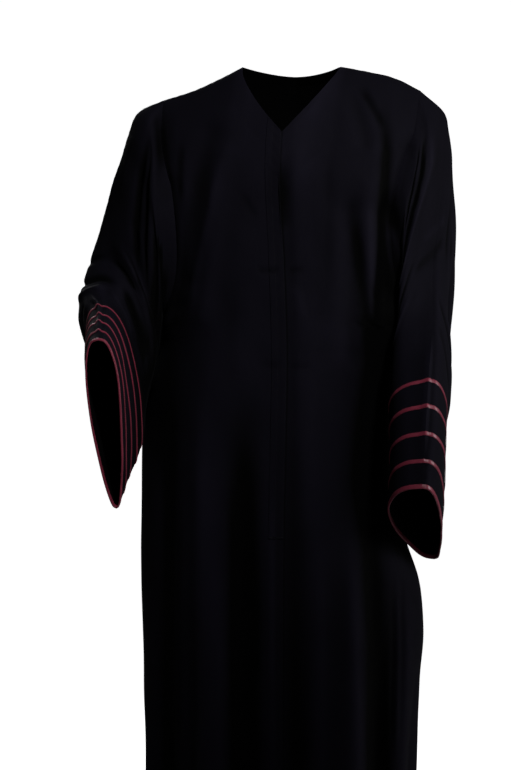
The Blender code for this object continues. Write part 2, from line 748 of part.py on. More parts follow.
def main():
    for thing in list(bpy.data.objects):
        bpy.data.objects.remove(thing)
    collection = bpy.data.collections.new("Abaya")
    bpy.context.scene.collection.children.link(collection)
    crape = make_material("Black crape", CRAPE, 0.75)
    wine = make_material("Wine satin", WINE, 0.40)
    grids = build_form()
    for grid in grids.values():
        cloth_panel(grid, crape, collection)
    placket_strip(grids["front_right"], crape, collection)
    for name in ("right_front", "right_back", "left_front", "left_back"):
        sleeve_tapes(grids["sleeve_" + name], wine, collection)
        cuff_binding(grids["sleeve_" + name], wine, collection)


main()
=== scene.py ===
# A long loose black robe with a V neck, a lapped front and wide straight sleeves with
# wine-coloured tapes. Metres, +Z up, the front faces -Y and +X is the wearer's left.
# The cloth is worked out as one form, then parted into its cut pieces. The tables and the
# first functions give the same form as the solids, and the later ones add the fine folds.
import math
from collections import namedtuple

import bpy
import numpy as np
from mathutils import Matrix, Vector
from mathutils.bvhtree import BVHTree


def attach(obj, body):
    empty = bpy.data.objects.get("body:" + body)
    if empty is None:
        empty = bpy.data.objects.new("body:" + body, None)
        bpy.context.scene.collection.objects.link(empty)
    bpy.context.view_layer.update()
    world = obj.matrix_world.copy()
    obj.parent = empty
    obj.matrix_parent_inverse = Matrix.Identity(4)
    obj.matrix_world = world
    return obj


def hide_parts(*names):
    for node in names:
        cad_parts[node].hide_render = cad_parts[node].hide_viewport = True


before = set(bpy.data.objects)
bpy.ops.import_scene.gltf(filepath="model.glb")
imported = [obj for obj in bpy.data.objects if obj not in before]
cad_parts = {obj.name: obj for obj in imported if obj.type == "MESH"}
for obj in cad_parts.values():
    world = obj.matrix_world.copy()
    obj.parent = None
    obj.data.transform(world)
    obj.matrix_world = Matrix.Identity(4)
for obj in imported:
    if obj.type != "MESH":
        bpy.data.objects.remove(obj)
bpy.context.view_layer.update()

bl_info = {
    "name": "Long robe with taped sleeves",
    "version": (1, 0, 0),
    "blender": (4, 5, 0),
    "location": "3D View > Sidebar > Robe",
    "description": "Cut pieces, tapes, bindings and stitching of a long robe in its worn form",
    "category": "Object",
}


def table(names, rows):
    """Rows of values with a name for each column."""
    row = namedtuple("Row", names)
    return [row(*values) for values in rows]


# Driving sizes
MM = 0.001                # the tables give small sizes in millimetres
DEGREE = 0.0016           # metres round a sleeve for each degree
SEAM_GAP = 0.0003         # between two pieces at a seam, and under what lies on the cloth
NECK_HALF = 0.0795        # half the neck's width at the shoulder seams
V_DEPTH = 0.112           # from the neck points down to the tip of the V
V_BOW = 0.75              # 1 is a straight V edge, less bows it outwards
BACK_NECK_DROP = 0.012    # how far the back neck lies below the neck points
SHOULDER_HALF = 0.240     # half the body's width at the shoulders
SHOULDER_END = 0.208      # from the middle to the armhole, along the shoulder seam
NECK_RISE = 0.030         # the shoulder slope carried on to the middle of the neck
UNDERARM_Z = -0.420
TACK_Z = -0.745           # the front is sewn shut below this height
HEM_Z = -1.430
SECTION_POWER = 2.25      # 2 is an ellipse, more is squarer
SHOULDER_ROLL = 0.20      # height over which the cloth turns from shoulder to chest
ROLL_POWER = 0.75
SIDE_FADE = 0.15          # share of the half width over which drapes fade at the sides
SAME_POINT = 2e-5         # points of two pieces this near each other count as one

PLACKET_WIDTH = 0.0235
UNDERLAP = 0.025          # how far the left front goes under the right
LAP_INSET = 0.0026        # how far inside it lies there
LAP_BEYOND = 0.003        # the underlap's last column, past the lap's edge
TUCK_END = 0.022          # how far past the lap's edge the left front is still tucked in
TUCK_FADE = 0.016         # over which it goes under
GAPE = 0.004              # the lap stands off the chest by this
GAPE_Z = -0.215
GAPE_REACH = 0.045        # up and down from there
TAPE_WIDTH = 0.006
TAPE_PITCH = 0.042        # from the sleeve's edge to the last tape, and tape to tape
TAPES = 4

# How finely the form is cut up
Counts = namedtuple("Counts", "upper tack skirt neck side")
# rows from shoulder to underarm, to bar tack and to hem, columns at the neck and beyond it
COUNTS = Counts(12, 5, 11, 5, 11)
ROW_CROWDING = 1.35       # rows lie closer together at the shoulder
ARM_RINGS = 12            # from the armhole to the first tape
BELLY_POWER = 0.85        # 1 is a round sleeve section, less is squarer
EVEN_FROM = 0.20          # from the armhole to where a ring's points are spread evenly
ARM_CLEARANCE = 0.003     # the sleeves stand this far off the body
FOLD_GROWTH = 0.75        # share of a long fold's height over which it grows
CREASE_START = 0.05       # creases grow over this much of a sleeve, from the armhole
CREASE_END = 0.19         # and stop this far from its edge
CREASE_END_FADE = 0.03    # fading over this much before it
SEAM_FADE = 12            # degrees from a seam over which a crease grows
EVENINGS = {"sleeve_left_front": 9}  # rounds that even out rows crowded at the armpit
EVEN_FADE = 3             # columns from a seam over which that grows
PUSH_POWER = 24           # less makes a softer bend where a sleeve meets that distance

BODY = table("z right left front back", (
    # height, half widths to the wearer's right and left, depths to front and back
    (0.00, 0.240, 0.240, 0.114, 0.092),
    (-0.10, 0.240, 0.240, 0.118, 0.102),
    (-0.20, 0.232, 0.232, 0.124, 0.110),
    (-0.32, 0.214, 0.212, 0.130, 0.114),
    (-0.42, 0.205, 0.205, 0.134, 0.115),
    (-0.44, 0.2045, 0.196, 0.135, 0.115),
    (-0.47, 0.212, 0.182, 0.136, 0.115),
    (-0.50, 0.224, 0.172, 0.137, 0.116),
    (-0.60, 0.240, 0.162, 0.141, 0.120),
    (-0.69, 0.242, 0.167, 0.144, 0.126),
    (-0.76, 0.243, 0.184, 0.146, 0.130),
    (-0.82, 0.243, 0.204, 0.148, 0.133),
    (-0.90, 0.241, 0.212, 0.150, 0.136),
    (-0.98, 0.236, 0.204, 0.152, 0.140),
    (-1.13, 0.230, 0.197, 0.156, 0.148),
    (-1.43, 0.224, 0.195, 0.162, 0.158),
))

SHOULDER = table("x right left", (
    # distance from the middle, height of the seam on the wearer's right and left
    (0.0795, 0.000, 0.000),
    (0.120, -0.0186, -0.009),
    (0.170, -0.0385, -0.022),
    (0.208, -0.050, -0.040),
))

ARMHOLE = table("drop front back", (
    # share of the way from shoulder to underarm, half width at the front and back edge
    (0.00, 0.208, 0.208),
    (0.20, 0.202, 0.199),
    (0.40, 0.184, 0.191),
    (0.60, 0.174, 0.189),
    (0.80, 0.180, 0.193),
    (1.00, 0.205, 0.205),
))

LAP_EDGE = table("z x", (
    # height, how far past the middle the right front's edge lies
    (-1.43, 0.0090),
    (-0.75, 0.0085),
    (-0.40, 0.0105),
    (-0.30, 0.0060),
    (-0.20, 0.0000),
    (-0.10, 0.0010),
))

FOLDS = table("top hem start width depth", (
    # angles from the middle of the front, height where it starts, half width in degrees,
    # and depth at the hem, in millimetres (a ridge is positive)
    (-34, -36, -0.48, 6.5, -10),
    (-24, -25, -0.48, 6.5, 9),
    (-12, -12, -0.58, 5.5, -11),
    (9, 10, -0.62, 5.5, -7),
    (31, 30, -0.80, 9.0, 9),
    (50, 47, -0.72, 6.5, -12),
    (64, 62, -0.76, 6.5, 8),
    (80, 78, -0.84, 6.5, -8),
    (94, 96, -0.90, 7.5, 7),
    (110, 108, -0.62, 7.0, -12),
    (124, 126, -0.62, 7.5, 9),
    (141, 139, -0.55, 6.5, -11),
    (157, 158, -0.60, 7.5, 9),
    (174, 177, -0.48, 7.0, -13),
    (-170, -167, -0.58, 7.5, 9),
    (-153, -151, -0.55, 6.5, -11),
    (-139, -137, -0.66, 7.0, 8),
    (-122, -124, -0.60, 7.0, -12),
    (-106, -105, -0.62, 7.5, 7),
    (-88, -89, -0.90, 6.5, -8),
    (-70, -68, -0.72, 7.5, 8),
    (-53, -51, -0.68, 6.5, -9),
))

DRAPES = table("face x1 z1 x2 z2 width depth", (
    # folds over chest and shoulder blades, from point to point, depths in millimetres
    ("front", 0.200, -0.140, 0.172, -0.240, 0.022, -9),
    ("front", 0.172, -0.240, 0.166, -0.360, 0.024, -10),
    ("front", -0.185, -0.200, -0.172, -0.380, 0.020, -5),
    ("front", -0.118, -0.110, -0.150, -0.340, 0.022, -6),
    ("front", -0.090, -0.150, -0.120, -0.400, 0.020, 4),
    ("front", 0.108, -0.050, 0.132, -0.130, 0.012, -4),
    ("front", 0.112, -0.240, 0.120, -0.460, 0.018, -5),
    ("front", 0.138, -0.200, 0.140, -0.400, 0.016, 3),
    ("back", -0.150, -0.110, -0.110, -0.440, 0.018, -6),
    ("back", 0.145, -0.120, 0.105, -0.430, 0.018, -6),
    ("back", 0.020, -0.180, 0.010, -0.520, 0.022, -5),
))

# Rings of a sleeve. Each has a point on the top seam and one on the underarm seam. The
# cloth between them bellies out by `front` and `back`. `turn` is the way of the front
# belly, 0 straight forward and 90 towards the body, and `lean` is the way of the back
# belly, 0 straight back and 90 away from the body. `fat` moves both towards the top seam.
RIGHT_SLEEVE = table("at top under turn lean front back fat", (
    (0.043, (-0.247, 0.000, -0.073), (-0.219, 0.004, -0.428), 22, 4, 0.096, 0.074, 0.10),
    (0.120, (-0.281, 0.002, -0.146), (-0.224, 0.010, -0.456), 30, 12, 0.106, 0.062, 0.15),
    (0.215, (-0.309, 0.010, -0.235), (-0.226, 0.008, -0.490), 36, 18, 0.109, 0.060, 0.25),
    (0.288, (-0.330, 0.006, -0.302), (-0.227, -0.002, -0.520), 44, 28, 0.102, 0.056, 0.30),
    (0.345, (-0.331, -0.030, -0.345), (-0.228, -0.024, -0.550), 56, 42, 0.092, 0.048, 0.35),
    (0.412, (-0.309, -0.090, -0.365), (-0.229, -0.056, -0.580), 60, 66, 0.046, 0.040, 0.40),
    (0.477, (-0.283, -0.150, -0.384), (-0.230, -0.092, -0.610), 84, 84, 0.030, 0.032, 0.45),
    (0.561, (-0.265, -0.225, -0.411), (-0.232, -0.165, -0.655), 90, 90, 0.025, 0.029, 0.45),
    (0.645, (-0.249, -0.300, -0.437), (-0.235, -0.237, -0.694), 90, 90, 0.023, 0.025, 0.40),
))
LEFT_SLEEVE = table("at top under turn lean front back fat", (
    (0.045, (0.2390, -0.003, -0.082), (0.219, 0.006, -0.426), 26, 12, 0.104, 0.066, -0.10),
    (0.123, (0.2430, -0.010, -0.165), (0.228, 0.018, -0.453), 28, 28, 0.108, 0.046, -0.05),
    (0.220, (0.2350, -0.030, -0.260), (0.232, 0.032, -0.492), 29, 38, 0.104, 0.034, 0.05),
    (0.310, (0.2310, -0.055, -0.348), (0.232, 0.038, -0.537), 42, 48, 0.084, 0.025, 0.30),
    (0.390, (0.2336, -0.098, -0.420), (0.231, 0.040, -0.582), 60, 62, 0.068, 0.022, 0.40),
    (0.492, (0.2330, -0.148, -0.500), (0.230, 0.034, -0.640), 78, 84, 0.058, 0.021, 0.50),
    (0.576, (0.2310, -0.178, -0.580), (0.231, 0.020, -0.708), 86, 88, 0.056, 0.021, 0.45),
    (0.660, (0.2280, -0.200, -0.661), (0.229, 0.000, -0.784), 90, 90, 0.056, 0.020, 0.25),
))

RIGHT_CREASES = table("half at1 turn1 at2 turn2 width depth", (
    # from one point to another of a sleeve half: metres from the armhole, degrees round
    # from the top seam, then half width and depth in millimetres
    ("front", 0.06, 45, 0.26, 60, 24, -5),
    ("front", 0.31, 30, 0.36, 95, 24, -6),
    ("back", 0.30, 30, 0.36, 120, 24, -6),
    ("back", 0.40, 50, 0.46, 120, 24, 5),
))
LEFT_CREASES = table("half at1 turn1 at2 turn2 width depth", (
    ("front", 0.10, 30, 0.26, 45, 24, 3),
    ("back", 0.10, 50, 0.34, 100, 26, -6),
    ("back", 0.36, 60, 0.48, 110, 26, 5),
))

SLEEVES = {"right": RIGHT_SLEEVE, "left": LEFT_SLEEVE}
CREASES = {"right": RIGHT_CREASES, "left": LEFT_CREASES}

WINE = (0.150, 0.018, 0.035, 1.0)

# Camera, floor and light
VIEW_TURN = 9.0           # degrees round from straight ahead
VIEW_DISTANCE = 4.0
VIEW_ASIDE = -0.056       # to the right of the middle
VIEW_HEIGHT = -0.45
VIEW_SHIFT = -37 / 770    # of the frame's height
LENS = 77.9
FLOOR_BELOW = 0.002       # from the hem down to the floor
FLOOR_HALF = 9.0
FLOOR_FRONT = 9.0
FLOOR_BACK = 8.0
SWEEP = 2.5               # radius between floor and backdrop
BACKDROP = 7.0            # its height

AMBIENT = 0.04            # strength of the studio's overall light
GLOW = 1.00               # what the floor and backdrop add to what the camera sees

LIGHTS = table("name place aim width height watts spread", (
    ("Key", (1.8, -2.8, 1.8), (-0.08, 0, -0.27), 0.6, 0.6, 3.9, 23),
    ("Side", (3.0, 0.3, -0.1), (0.2, 0, -0.3), 0.8, 1.4, 10, 80),
    ("Back", (-1.2, 3.2, 0.9), (0, 0, -0.4), 1.2, 1.2, 24, 120),
))


def curve(keys, values, at):
    """A smooth curve through a table's values, read at one place or more."""
    keys = np.asarray(keys, float)
    values = np.asarray(values, float)
    at = np.clip(np.asarray(at, float), keys[0], keys[-1])
    slopes = np.gradient(values, keys, axis=0)
    i = np.clip(np.searchsorted(keys, at, side="right") - 1, 0, len(keys) - 2)
    step = keys[i + 1] - keys[i]
    t = (at - keys[i]) / step
    extra = (1,) * (values.ndim - 1)
    step = step.reshape(step.shape + extra)
    t = t.reshape(t.shape + extra)
    return (values[i] * (1 + 2 * t) * (1 - t) ** 2 + slopes[i] * step * t * (1 - t) ** 2
            + values[i + 1] * t ** 2 * (3 - 2 * t) - slopes[i + 1] * step * t ** 2 * (1 - t))


def column(rows, name, key, at):
    """One named column of a table, read smoothly at other places of its key column."""
    ordered = sorted(rows, key=lambda row: getattr(row, key))
    keys = [getattr(row, key) for row in ordered]
    return curve(keys, [getattr(row, name) for row in ordered], at)


def bell(t):
    """1 in the middle, and softly down to 0 on both sides."""
    return np.exp(-t ** 2)


def ease(t):
    """0 to 1 with a soft start and end."""
    t = np.clip(t, 0.0, 1.0)
    return t * t * (3 - 2 * t)


def shoulder_height(x, side):
    """Height of the shoulder seam, carried on over the neck as a low cone."""
    inside = NECK_RISE * (1 - x / NECK_HALF)
    seam = column(SHOULDER, side, "x", np.maximum(x, NECK_HALF))
    return np.where(x < NECK_HALF, inside, seam)


def top_edge(x, side, face):
    """Height of a panel's upper edge at a distance from the middle."""
    share = 1 - x / NECK_HALF
    if face == "front":
        neck = np.where(share < 1, -V_DEPTH * np.clip(share, 0, 1) ** V_BOW,
                        -V_DEPTH * (1 + V_BOW * (share - 1)))
    else:
        neck = -BACK_NECK_DROP * (1 - np.clip(x / NECK_HALF, 0, 1) ** 2)
    return np.where(x < NECK_HALF, neck, shoulder_height(x, side))


def from_line(first, second, start, end):
    """Distance of points from a line between two places, and their share of its length."""
    run = np.subtract(end, start)
    share = ((first - start[0]) * run[0] + (second - start[1]) * run[1]) / run.dot(run)
    share = np.clip(share, 0, 1)
    away = np.hypot(first - start[0] - share * run[0], second - start[1] - share * run[1])
    return away, share


def fold_depth(angle, z):
    """How far the long folds stand out at an angle and a height."""
    total = np.zeros_like(z)
    for fold in FOLDS:
        grown = ease((fold.start - z) / (FOLD_GROWTH * (fold.start - HEM_Z)))
        middle = fold.top + (fold.hem - fold.top) * grown
        away = (angle - middle + 180) % 360 - 180
        total += grown * fold.depth * MM * bell(away / fold.width)
    return total


def body_point(x, z, side, face):
    """A point on the robe's outer face, from its distance to the middle and its height."""
    half = column(BODY, side, "z", z)
    depth = column(BODY, face, "z", z)
    rise = np.clip((shoulder_height(np.abs(x), side) - z) / SHOULDER_ROLL, 0, 1)
    roll = np.clip(1 - (1 - rise) ** 2, 0, 1) ** ROLL_POWER
    across = np.clip(np.abs(x) / half, 0, 1)
    cosine = np.clip(1 - across ** SECTION_POWER, 0, 1) ** (1 / SECTION_POWER)
    sign_x = 1 if side == "left" else -1
    sign_y = -1 if face == "front" else 1
    y = sign_y * depth * roll * cosine
    x = sign_x * x
    angle = np.degrees(np.arctan2(x / half, -y / depth))
    out = np.stack((x / half ** 2, y / depth ** 2), axis=-1)
    out /= np.maximum(np.linalg.norm(out, axis=-1, keepdims=True), 1e-6)
    lift = fold_depth(angle, z)
    kept = roll * ease((1 - across) / SIDE_FADE)
    for drape in DRAPES:
        if drape.face == face:
            away = from_line(x, z, (drape.x1, drape.z1), (drape.x2, drape.z2))[0]
            lift = lift + drape.depth * MM * bell(away / drape.width) * kept
    return np.stack((x + lift * out[..., 0], y + lift * out[..., 1], z), axis=-1)


def row_heights(counts):
    """Heights of the rows from the underarm down to the hem."""
    upper = np.linspace(UNDERARM_Z, TACK_Z, counts.tack + 1)
    lower = np.linspace(TACK_Z, HEM_Z, counts.skirt + 1)
    return np.concatenate((upper, lower[1:]))


def section_angle(share):
    """How far round a section of the body a point lies, from its share of the half width."""
    return math.asin(min(share, 1.0) ** (SECTION_POWER / 2))


def panel_grid(name, side, counts, strip):
    """Points of a body panel, row by row, from the middle to its armhole or side seam."""
    face = "back" if name == "back" else "front"
    drops = np.linspace(0, 1, counts.upper + 1) ** ROW_CROWDING
    limits = column(ARMHOLE, face, "drop", drops)
    top_z = float(shoulder_height(np.array(limits[0]), side))
    upper = [(drop, top_z + (UNDERARM_Z - top_z) * drop) for drop in drops]
    lower = [(1.0, z) for z in row_heights(counts)[1:]]
    neck_at = (section_angle(NECK_HALF / SHOULDER_HALF)
               / section_angle(SHOULDER_END / SHOULDER_HALF))
    spread = np.concatenate((np.linspace(0, neck_at, counts.neck + 1),
                             np.linspace(neck_at, 1, counts.side + 1)[1:]))
    rows = []
    for number, (drop, z_edge) in enumerate(upper + lower):
        above = number < len(upper)
        half = float(column(BODY, side, "z", z_edge))
        last = section_angle((limits[number] if above else half) / half)
        x = half * np.sin(spread * last) ** (2 / SECTION_POWER)
        if number == 0:
            x[counts.neck] = NECK_HALF
        z_front = -V_DEPTH * (1 - drop) + UNDERARM_Z * drop if above else z_edge
        first = first_columns(name, z_front, strip)
        between = np.linspace(first[-1], x[counts.neck], counts.neck - len(first) + 2)[1:-1]
        x = np.concatenate((first, between, x[counts.neck:]))
        if above:
            top = top_edge(x, side, face)
            z = top + (UNDERARM_Z - top) * drop
        else:
            z = np.full_like(x, z_edge)
        rows.append(body_point(x, z, side, face))
    return np.array(rows)


def lap_x(z):
    return float(column(LAP_EDGE, "x", "z", z))


def first_columns(name, z, strip):
    """Distances from the middle of a panel's first columns at a height.

    The right front starts past the middle, with `strip` columns across its placket, and
    the left front starts under it.
    """
    lap = lap_x(z)
    if name == "front_right":
        return np.linspace(-lap, -lap + PLACKET_WIDTH, strip)
    if name == "front_left":
        return np.linspace(lap - UNDERLAP, lap + LAP_BEYOND, strip)
    return np.zeros(1)


def grid_normals(grids):
    """Normals of all the grids together, shared where their points meet."""
    points = np.concatenate([grid.points.reshape(-1, 3) for grid in grids])
    keys = np.round(points / SAME_POINT).astype(np.int64)
    unique, index = np.unique(keys, axis=0, return_inverse=True)
    index = index.reshape(-1)
    total = np.zeros((len(unique), 3))
    start = 0
    for grid in grids:
        rows, columns = grid.points.shape[:2]
        own = index[start:start + rows * columns].reshape(rows, columns)
        start += rows * columns
        p = grid.points
        area = np.cross(p[1:, 1:] - p[:-1, :-1], p[1:, :-1] - p[:-1, 1:])
        area = area if grid.turned else -area
        for corner in (own[:-1, :-1], own[1:, :-1], own[:-1, 1:], own[1:, 1:]):
            np.add.at(total, corner.reshape(-1), area.reshape(-1, 3))
    total /= np.maximum(np.linalg.norm(total, axis=1, keepdims=True), 1e-12)
    start = 0
    for grid in grids:
        count = grid.points.shape[0] * grid.points.shape[1]
        grid.normals = total[index[start:start + count]].reshape(grid.points.shape)
        start += count


class Grid:
    """A piece of cloth as rows of points on its outer face."""

    def __init__(self, name, points, turned):
        self.name = name
        self.points = points
        self.turned = turned
        self.normals = None


def sleeve_half(rings, edge, half, side, places):
    """Points of a sleeve half: one row for each place along the sleeve."""
    count = len(edge)
    even = np.linspace(0, math.pi, count)
    crowded = np.arccos(1 - 2 * np.linspace(0, 1, count) ** ROW_CROWDING)
    inwards = -1 if side == "left" else 1
    sign = 1 if half == "front" else -1
    keys = [0.0]
    key_rings = [edge]
    for ring in rings:
        top, under = np.array(ring.top), np.array(ring.under)
        turn = math.radians(ring.turn if half == "front" else ring.lean)
        belly = sign * np.array((inwards * math.sin(turn), -math.cos(turn), 0.0))
        chord = (top - under) / np.linalg.norm(top - under)
        belly = belly - chord * belly.dot(chord)
        belly /= np.linalg.norm(belly)
        width = ring.front if half == "front" else ring.back
        share = ease(ring.at / EVEN_FROM)
        round_angle = crowded + (even - crowded) * share
        bulge = width * np.sin(round_angle) ** BELLY_POWER
        bulge = bulge * (1 + ring.fat * np.cos(round_angle))
        key_rings.append((top + under) / 2 + np.outer(np.cos(round_angle), (top - under) / 2)
                         + np.outer(bulge, belly))
        keys.append(ring.at)
    return curve(keys, np.array(key_rings), places)


def clear_of_body(points, side):
    """Move a sleeve's points out until they stand clear of the body's own form."""
    x, y, z = np.abs(points[..., 0]), np.abs(points[..., 1]), points[..., 2]
    half = column(BODY, side, "z", z)
    depth = np.where(points[..., 1] < 0, column(BODY, "front", "z", z),
                     column(BODY, "back", "z", z))
    rise = np.clip((shoulder_height(x, side) - z) / SHOULDER_ROLL, 0.01, 1)
    depth = depth * (1 - (1 - rise) ** 2) ** ROLL_POWER
    reach = ((x / half) ** SECTION_POWER + (y / depth) ** SECTION_POWER) ** (1 / SECTION_POWER)
    wanted = 1 + ARM_CLEARANCE / half
    reach = np.maximum(reach, 0.1)
    push = (reach ** PUSH_POWER + wanted ** PUSH_POWER) ** (1 / PUSH_POWER) / reach
    push[0] = 1
    moved = points.copy()
    moved[..., :2] *= push[..., None]
    return moved


def evened(points, rounds):
    """Even out a sleeve's rows where they crowd at the armpit, but not at its seams."""
    moved = points.copy()
    from_seam = np.minimum(np.arange(points.shape[1]), np.arange(points.shape[1])[::-1])
    share = ease(from_seam / EVEN_FADE)[:, None] / 2
    for _ in range(rounds):
        between = (moved[:-2] + moved[2:]) / 2
        step = (between - moved[1:-1]) * share
        moved[1:ARM_RINGS] += step[:ARM_RINGS - 1]
    return moved


def crease(points, normals, places, half, creases):
    """Push the creases of a sleeve half in or out, none of them at its two ends."""
    turn = np.linspace(0, 180, points.shape[1])
    arm, angle = np.meshgrid(places, turn, indexing="ij")
    total = np.zeros_like(arm)
    for row in creases:
        if row.half == half:
            away = from_line(arm, angle * DEGREE, (row.at1, row.turn1 * DEGREE),
                             (row.at2, row.turn2 * DEGREE))[0]
            total += row.depth * MM * bell(away / (row.width * MM))
    ends = (ease(arm / CREASE_START)
            * ease((places[-1] - CREASE_END - arm) / CREASE_END_FADE))
    seam = ease(angle / SEAM_FADE) * ease((180 - angle) / SEAM_FADE)
    return points + normals * (total * ends * seam)[..., None]


def sleeve_places(length):
    """Distances along the sleeve where a row of points lies."""
    first = length - TAPES * TAPE_PITCH - TAPE_WIDTH / 2
    places = list(np.linspace(0, first, ARM_RINGS + 1))
    for number in range(TAPES, 0, -1):
        middle = length - number * TAPE_PITCH
        if number < TAPES:
            places.append(middle - TAPE_WIDTH / 2)
        places.append(middle + TAPE_WIDTH / 2)
    places.append(length - TAPE_WIDTH)
    places.append(length)
    return np.array(places)


def body_grids(counts, strip):
    """The two fronts and the back, by name, with `strip` columns across the placket."""
    right, left = (panel_grid("back", side, counts, strip) for side in ("right", "left"))
    grids = (Grid("front_right", panel_grid("front_right", "right", counts, strip), True),
             Grid("front_left", panel_grid("front_left", "left", counts, strip), False),
             Grid("back", np.concatenate((right[:, :0:-1], left), axis=1), True))
    return {grid.name: grid for grid in grids}


def armhole_edges(grids, counts):
    """The armhole edge where each sleeve half starts, by the half's name."""
    rows = counts.upper + 1
    return {
        "sleeve_right_front": grids["front_right"].points[:rows, -1],
        "sleeve_right_back": grids["back"].points[:rows, 0],
        "sleeve_left_front": grids["front_left"].points[:rows, -1],
        "sleeve_left_back": grids["back"].points[:rows, -1],
    }


def sleeve_grids(body):
    """The four sleeve halves, each from its armhole edge to its cuff, by name."""
    grids = {}
    for name, edge in armhole_edges(body, COUNTS).items():
        side, half = name.split("_")[1:]
        rings = SLEEVES[side]
        points = sleeve_half(rings, edge, half, side, sleeve_places(rings[-1].at))
        points = clear_of_body(evened(points, EVENINGS.get(name, 0)), side)
        grids[name] = Grid(name, points, (side == "right") != (half == "front"))
    return grids


def tuck_under_lap(grid):
    """The left front lies inside the right one where they overlap."""
    for row, normals in zip(grid.points, grid.normals):
        lap = lap_x(row[0, 2])
        share = ease((lap + TUCK_END - row[:, 0]) / TUCK_FADE)
        row -= normals * (LAP_INSET * share)[:, None]


def open_lap(grid):
    """The edge of the right front stands a little off the chest."""
    edge = grid.points[:, 0]
    edge[:, 1] -= GAPE * bell((edge[:, 2] - GAPE_Z) / GAPE_REACH)


# How finely the cloth is cut up for its folds
FINE = Counts(84, 50, 110, 20, 55)
STRIP_COLUMNS = 9
ROW_STEP = 0.004          # between a sleeve's rows, at most
ARMHOLE_FADE = 0.040      # where a sleeve takes up the finer armhole

# How fold lines, seams and the unevenness of the cloth are shaped
LINE_END = 0.3            # share of a fold line over which each of its ends fades
LINE_LEFT = 0.05          # share of that fade that is done at the very end
LINE_CLEAR = 0.02         # from a seam, where a fold line is whole again
SEAM_DIP = 0.0007         # depth of the cloth in a seam
SEAM_DIP_WIDTH = 0.0028
PUCKER = 0.00016          # height of the puckers beside a seam
PUCKER_WIDTH = 0.009
PUCKER_WAVES = (330, 517)  # radians for each metre along a seam
DRIFT_WAVES = 18
DRIFT_LONGEST = 0.26      # from crest to crest
DRIFT_SHORTEST = 0.045
DRIFT_HIGHEST = 0.00050   # of the longest wave
DRIFT_FALL = 0.00036      # how much lower the shortest is
DRIFT_WAYS = (1, 1, 0.35)  # less makes the waves longer that way

# Where the cloth is folded in and so thicker
NEAR_HEM = 0.03           # up to this height the hem's fold counts
HEM_TURNED = 0.022        # width of cloth that is folded in at the hem
EDGE_TURNED = 0.012       # and at the neck and the front edges
TURNED_STEP = 0.003       # over which it gets thinner again

# How dark the painted shade makes the cloth in its folds and where other cloth shuts it in
HOLLOW_REACH = 0.020      # each point is held against points this far to each side
FOLD_FULL = 8.0           # millimetres below them that get the darkest painted shade
FOLD_SHADE = 1.5          # how much wider than a fold its painted shade is
DEEP_FULL = 0.007         # depth of a fold that gets the darkest painted shade
SHADE_STEP = 4            # rows and columns between points that rays leave from
SHADE_RAYS = 20
SHADE_REACH = 0.14        # how far a ray looks for other cloth
SHADE_START = 0.002       # rays leave this far off the cloth
SHUT_FULL = 0.26          # share of shut in room that gets the darkest painted shade
